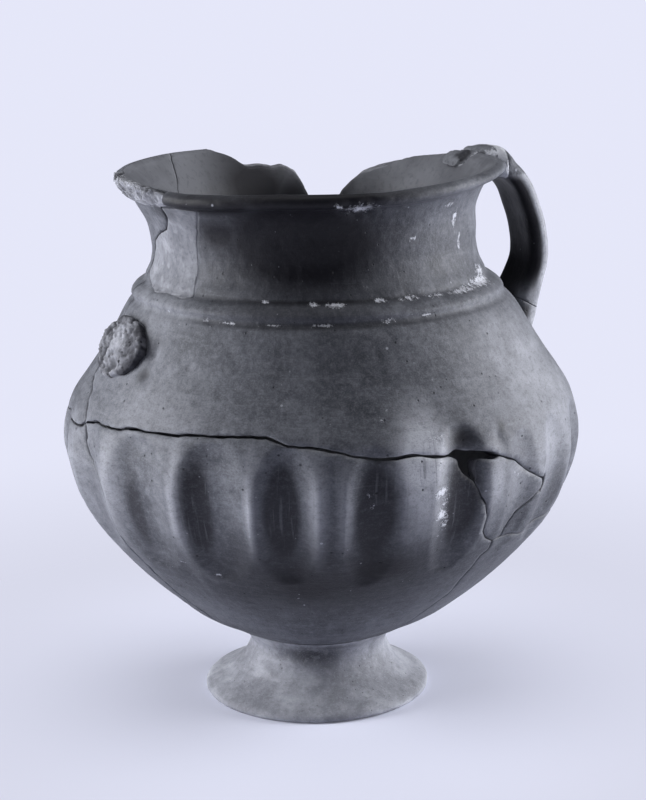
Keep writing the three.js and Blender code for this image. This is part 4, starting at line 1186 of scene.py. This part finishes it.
# Dark smears on the foot, with painted shade: the belly's shadow on the front of the waist and a dark line round the
# bottom edge: [angle, height, half width in degrees, half height, strength]
FOOT_SMEARS_AND_SHADE = [[-117, 21.5, 29, 5, 1.1], [-110, 24.8, 36, 1.8, 0.9], [-128, 12, 14, 4, 0.35], [-60, 12, 34, 9, 0.5],
             [-50, 4, 34, 4, 0.4], [60, 18, 40, 7, 0.6], [150, 14, 25, 5, 0.5], [-110, 0, 75, 0.9, 0.8]]


def foot_piece():
    """The foot: an outline turned round the leaning axis, with slow unevenness and a worn edge."""
    outline = np.array([
        [9, 17.0], [15, 12.4], [22, 7.2], [31, 3.4], [37.5, 1.2], [40.2, 0.05], [42.6, 0.0], [43.8, 0.5],
        [44.2, 1.5], [43.6, 3.0], [41.2, 4.7], [37, 6.8], [33.2, 9.2], [30.4, 11.8], [28.4, 14.8], [27.2, 17.6],
        [26.9, 20], [27.6, 22.2], [29, 24.4], [30.4, 26], [31, 26.95], [28, 27.0], [15, 27.0],
    ])
    rows = smooth_curve(outline, 130)
    angles = np.linspace(-180, 180, 260, endpoint=False)
    rings = []
    for radius, height in rows:
        free = min(1.0, height / 2) * min(1.0, max(0.0, (26.5 - height)) / 2)
        uneven = free * (ripple(angles, height * 3.0 + 0 * angles, 12, 0.35)
                         + 0.16 * grain(angles / 2, height + 0 * angles, 13, 4.5))
        rings.append(pot_point(radius + uneven, angles, np.full_like(angles, max(height, 0.0))))
    height = np.repeat(rows[:, 1:], len(angles), axis=1)
    above = np.repeat(np.arange(len(rows))[:, None] > len(rows) * 0.38, len(angles), axis=1)
    # Dark smears, with painted shadow on the waist and a painted dark line at the bottom edge
    darkening = painted(FOOT_SMEARS_AND_SHADE, angles[None] + 0 * height, height) * above
    return swept("foot_stand", rings, [FOOT], caps=(0, 0), attributes={"blackening_and_shade": darkening})


def upper_scar():
    """The broken root on the lip: a rough slanting break from the top of the lip to below its roll."""
    section = np.array([[67.2, 199.4], [67.9, 198.0], [70.0, 198.3], [71.6, 199.9], [73.0, 202.4], [73.6, 204.6],
                        [73.0, 205.8], [70.2, 205.7], [68.2, 203.0]])
    closed = np.vstack([section, section[:1]])
    angles = np.linspace(158.2, 202.8, 170)
    around = 96
    place = np.linspace(0, len(section), around + 1)[:-1]
    index = place.astype(int)
    share = (place - index)[:, None]
    ring = closed[index] * (1 - share) + closed[index + 1] * share
    middle = ring.mean(0)
    rings = []
    darkening = []
    for angle in angles:
        fade = np.clip(1 - (abs(angle - 180.5) / 23.2) ** 4, 0.04, 1) ** 0.5
        local = middle + (ring - middle) * fade
        angle_row = np.full(around, angle)
        spots = np.stack([angle_row * 1.25, local[:, 0], local[:, 1]], -1)
        rough = 0.75 * lumps(spots, 51, 2.6) + 0.55 * lumps(spots, 54, 1.2) + 0.2 * lumps(spots, 57, 0.6)
        outside = np.clip((local[:, 0] - 67.6) / 2.4, 0, 1) * fade
        radius = local[:, 0] + (rough - 0.5) * outside
        radius = np.minimum(radius, 73.9)
        height = lip_height(local[:, 1], angle_row) + 0.5 * (rough - 0.8) * outside
        rings.append(pot_point(radius, angle_row, height))
        # Darker in the low spots of the rough break, most near angle 167
        darkening.append(np.clip(0.95 - rough, 0, 1) * (0.15 + 0.85 * np.exp(-((angle - 167) / 12) ** 2)))
    return swept("upper_scar", rings, [SCAR], attributes={"blackening_and_shade": np.array(darkening)})


def lower_scar():
    """The broken lower root: a low oval stub on the shoulder, its broken top pitted round a worn knob."""
    turn = math.radians(-177)
    centre = pot_point(80.6, np.array(-177.0), np.array(145.5))
    outward = np.array([0.87 * math.cos(turn), 0.87 * math.sin(turn), 0.49])
    across = np.array([-math.sin(turn), math.cos(turn), 0.0])
    up = np.cross(outward, across)
    steps = np.linspace(0, 2 * math.pi, 200, endpoint=False)
    layers = [(-2.8, 0.93), (-1.6, 0.97), (-0.4, 0.99), (0.5, 1.0), (1.1, 0.985), (1.5, 0.95)]
    layers += [(1.75, share) for share in np.linspace(0.92, 0.03, 42)]
    wobble = 1 + 0.03 * np.sin(3 * steps + 1) + 0.02 * np.sin(7 * steps) + 0.012 * np.sin(13 * steps)
    rings = []
    darkening = []
    for depth, size in layers:
        right = np.cos(steps) * 17.9 * size * wobble
        high = np.sin(steps) * 11.9 * size * wobble
        spots = np.stack([right, high, 0 * right], -1)
        rough = 0.7 * lumps(spots, 71, 3.4) + 0.6 * lumps(spots, 74, 1.5) + 0.22 * lumps(spots, 77, 0.7)
        knob = 1.0 * math.exp(-(size / 0.42) ** 2) - 0.35 * math.exp(-((size - 0.7) / 0.16) ** 2)
        rim = np.clip((depth + 0.4) / 2.1, 0, 1)
        lift = depth + rim * (knob + rough * (1 - 0.55 * math.exp(-(size / 0.35) ** 2)))
        lift = np.minimum(lift, 3.05)
        rings.append(centre + np.outer(lift, outward) + np.outer(right, across) + np.outer(high, up))
        ring = 1 - 0.95 * math.exp(-(size / 0.5) ** 2)
        # Darkened round the knob, more in the low spots of the rough break; the knob itself stays pale
        darkening.append(np.clip(0.3 + 0.8 * np.clip(0.5 - rough, 0, 1), 0, 1) * ring + 0 * right)
    return swept("lower_scar", rings, [SCAR], attributes={"blackening_and_shade": np.array(darkening)})


bowl_front = settle(sherd("bowl_front_wall", bowl_front_outline(), SHERD_FINISHES), "burnished_clay", "bowl_front")
bowl_back = settle(sherd("bowl_back_wall", bowl_back_outline(), SHERD_FINISHES), "burnished_clay", "bowl_back")
rib_piece = settle(sherd("rib_sherd_wall", rib_sherd_outline(), SHERD_FINISHES), "burnished_clay", "rib_sherd")
back_wall = settle(sherd("shoulder_back_wall", shoulder_back_outline(), SHERD_FINISHES), "burnished_clay", "shoulder_back")
left_wall = settle(sherd("shoulder_left_wall", shoulder_left_outline(), SHERD_FINISHES), "burnished_clay", "shoulder_left")
patch = settle(sherd("neck_patch", neck_fill_outline(), [FILL, FILL, FILL]), "plaster", "neck_fill")
handle, handle_fill, top_root, low_root = strap_pieces()
front = sherd("shoulder_front_wall", shoulder_front_outline(), SHERD_FINISHES)
join_into(front, top_root, low_root)
settle(front, "burnished_clay", "shoulder_front")
settle(handle, "burnished_clay", "handle")
settle(handle_fill, "plaster", "handle_fill")
settle(foot_piece(), "foot_clay", "foot")
settle(upper_scar(), "broken_clay", "lost_handle_upper_root")
settle(lower_scar(), "broken_clay", "lost_handle_lower_root")


# Studio: a pale floor without an edge in view, tall soft lights left and right, a dark front

VIEW_TURN = -22.0
CAMERA_DISTANCE = 724.0
CAMERA_HEIGHT = 288.0
CAMERA_PITCH = 13.36
CAMERA_YAW = 0.33
CAMERA_ROLL = 0.9
FOCAL_PIXELS = 1917.0
AXIS_OFFSET = -2.0


def picture_point(right, away, up):
    """A point given as seen from the camera's side, in metres."""
    turn = math.radians(VIEW_TURN)
    right = right + AXIS_OFFSET
    return Vector((right * math.cos(turn) - away * math.sin(turn),
                   right * math.sin(turn) + away * math.cos(turn), up)) * MM


def add_camera():
    data = bpy.data.cameras.new("camera")
    data.sensor_width = 36
    data.lens = FOCAL_PIXELS * 36 / 800
    data.clip_start = 0.05
    data.clip_end = 60
    camera = bpy.data.objects.new("camera", data)
    bpy.context.scene.collection.objects.link(camera)
    pitch = math.radians(CAMERA_PITCH)
    level = Matrix((
        (1, 0, 0),
        (0, math.sin(pitch), -math.cos(pitch)),
        (0, math.cos(pitch), math.sin(pitch)),
    ))
    yaw = Matrix.Rotation(math.radians(VIEW_TURN - CAMERA_YAW), 3, "Z")
    roll = Matrix.Rotation(-math.radians(CAMERA_ROLL), 3, "Z")
    camera.matrix_world = Matrix.Translation(picture_point(0, -CAMERA_DISTANCE, CAMERA_HEIGHT)) @ (
        yaw @ level @ roll).to_4x4()
    bpy.context.scene.camera = camera


def add_light(name, at, toward, width, tall, power, colour=(0.96, 0.97, 1.0)):
    data = bpy.data.lights.new(name, "AREA")
    data.shape = "RECTANGLE"
    data.size = width
    data.size_y = tall
    data.energy = power
    data.color = colour
    light = bpy.data.objects.new(name, data)
    bpy.context.scene.collection.objects.link(light)
    start = picture_point(*at)
    aim = picture_point(*toward) - start
    light.location = start
    light.rotation_euler = aim.to_track_quat("-Z", "Y").to_euler()
    light.visible_camera = False
    return light


def add_floor():
    mesh = bpy.data.meshes.new("floor")
    reach = 14.0
    mesh.from_pydata([(-reach, -reach, 0), (reach, -reach, 0), (reach, reach, 0), (-reach, reach, 0)], [],
                     [(0, 1, 2, 3)])
    layer = mesh.attributes.new("place", "FLOAT_VECTOR", "POINT")
    layer.data.foreach_set("vector", [value for vertex in mesh.vertices for value in vertex.co])
    mesh.materials.append(floor_paper())
    floor = bpy.data.objects.new("floor", mesh)
    bpy.context.scene.collection.objects.link(floor)


def set_world():
    world = bpy.data.worlds.new("studio")
    bpy.context.scene.world = world
    world.use_nodes = True
    background = world.node_tree.nodes["Background"]
    background.inputs["Color"].default_value = (0.82, 0.86, 1.0, 1)
    background.inputs["Strength"].default_value = 0.07
    tree = world.node_tree
    backdrop = tree.nodes.new("ShaderNodeBackground")
    backdrop.inputs["Color"].default_value = (0.785, 0.80, 0.945, 1)
    backdrop.inputs["Strength"].default_value = 1.0
    rays = tree.nodes.new("ShaderNodeLightPath")
    seen = tree.nodes.new("ShaderNodeMixShader")
    tree.links.new(rays.outputs["Is Camera Ray"], seen.inputs[0])
    tree.links.new(background.outputs[0], seen.inputs[1])
    tree.links.new(backdrop.outputs[0], seen.inputs[2])
    tree.links.new(seen.outputs[0], tree.nodes["World Output"].inputs["Surface"])


add_camera()
add_floor()
set_world()
add_light("left_light", (-840, -60, 300), (0, 0, 110), 0.4, 0.7, 13)
add_light("right_light", (840, 60, 300), (0, 0, 110), 0.4, 0.7, 13.5)
add_light("top_light", (0, 60, 1500), (0, 40, 0), 1.2, 1.2, 6.5)
bpy.context.scene.view_settings.view_transform = "Standard"
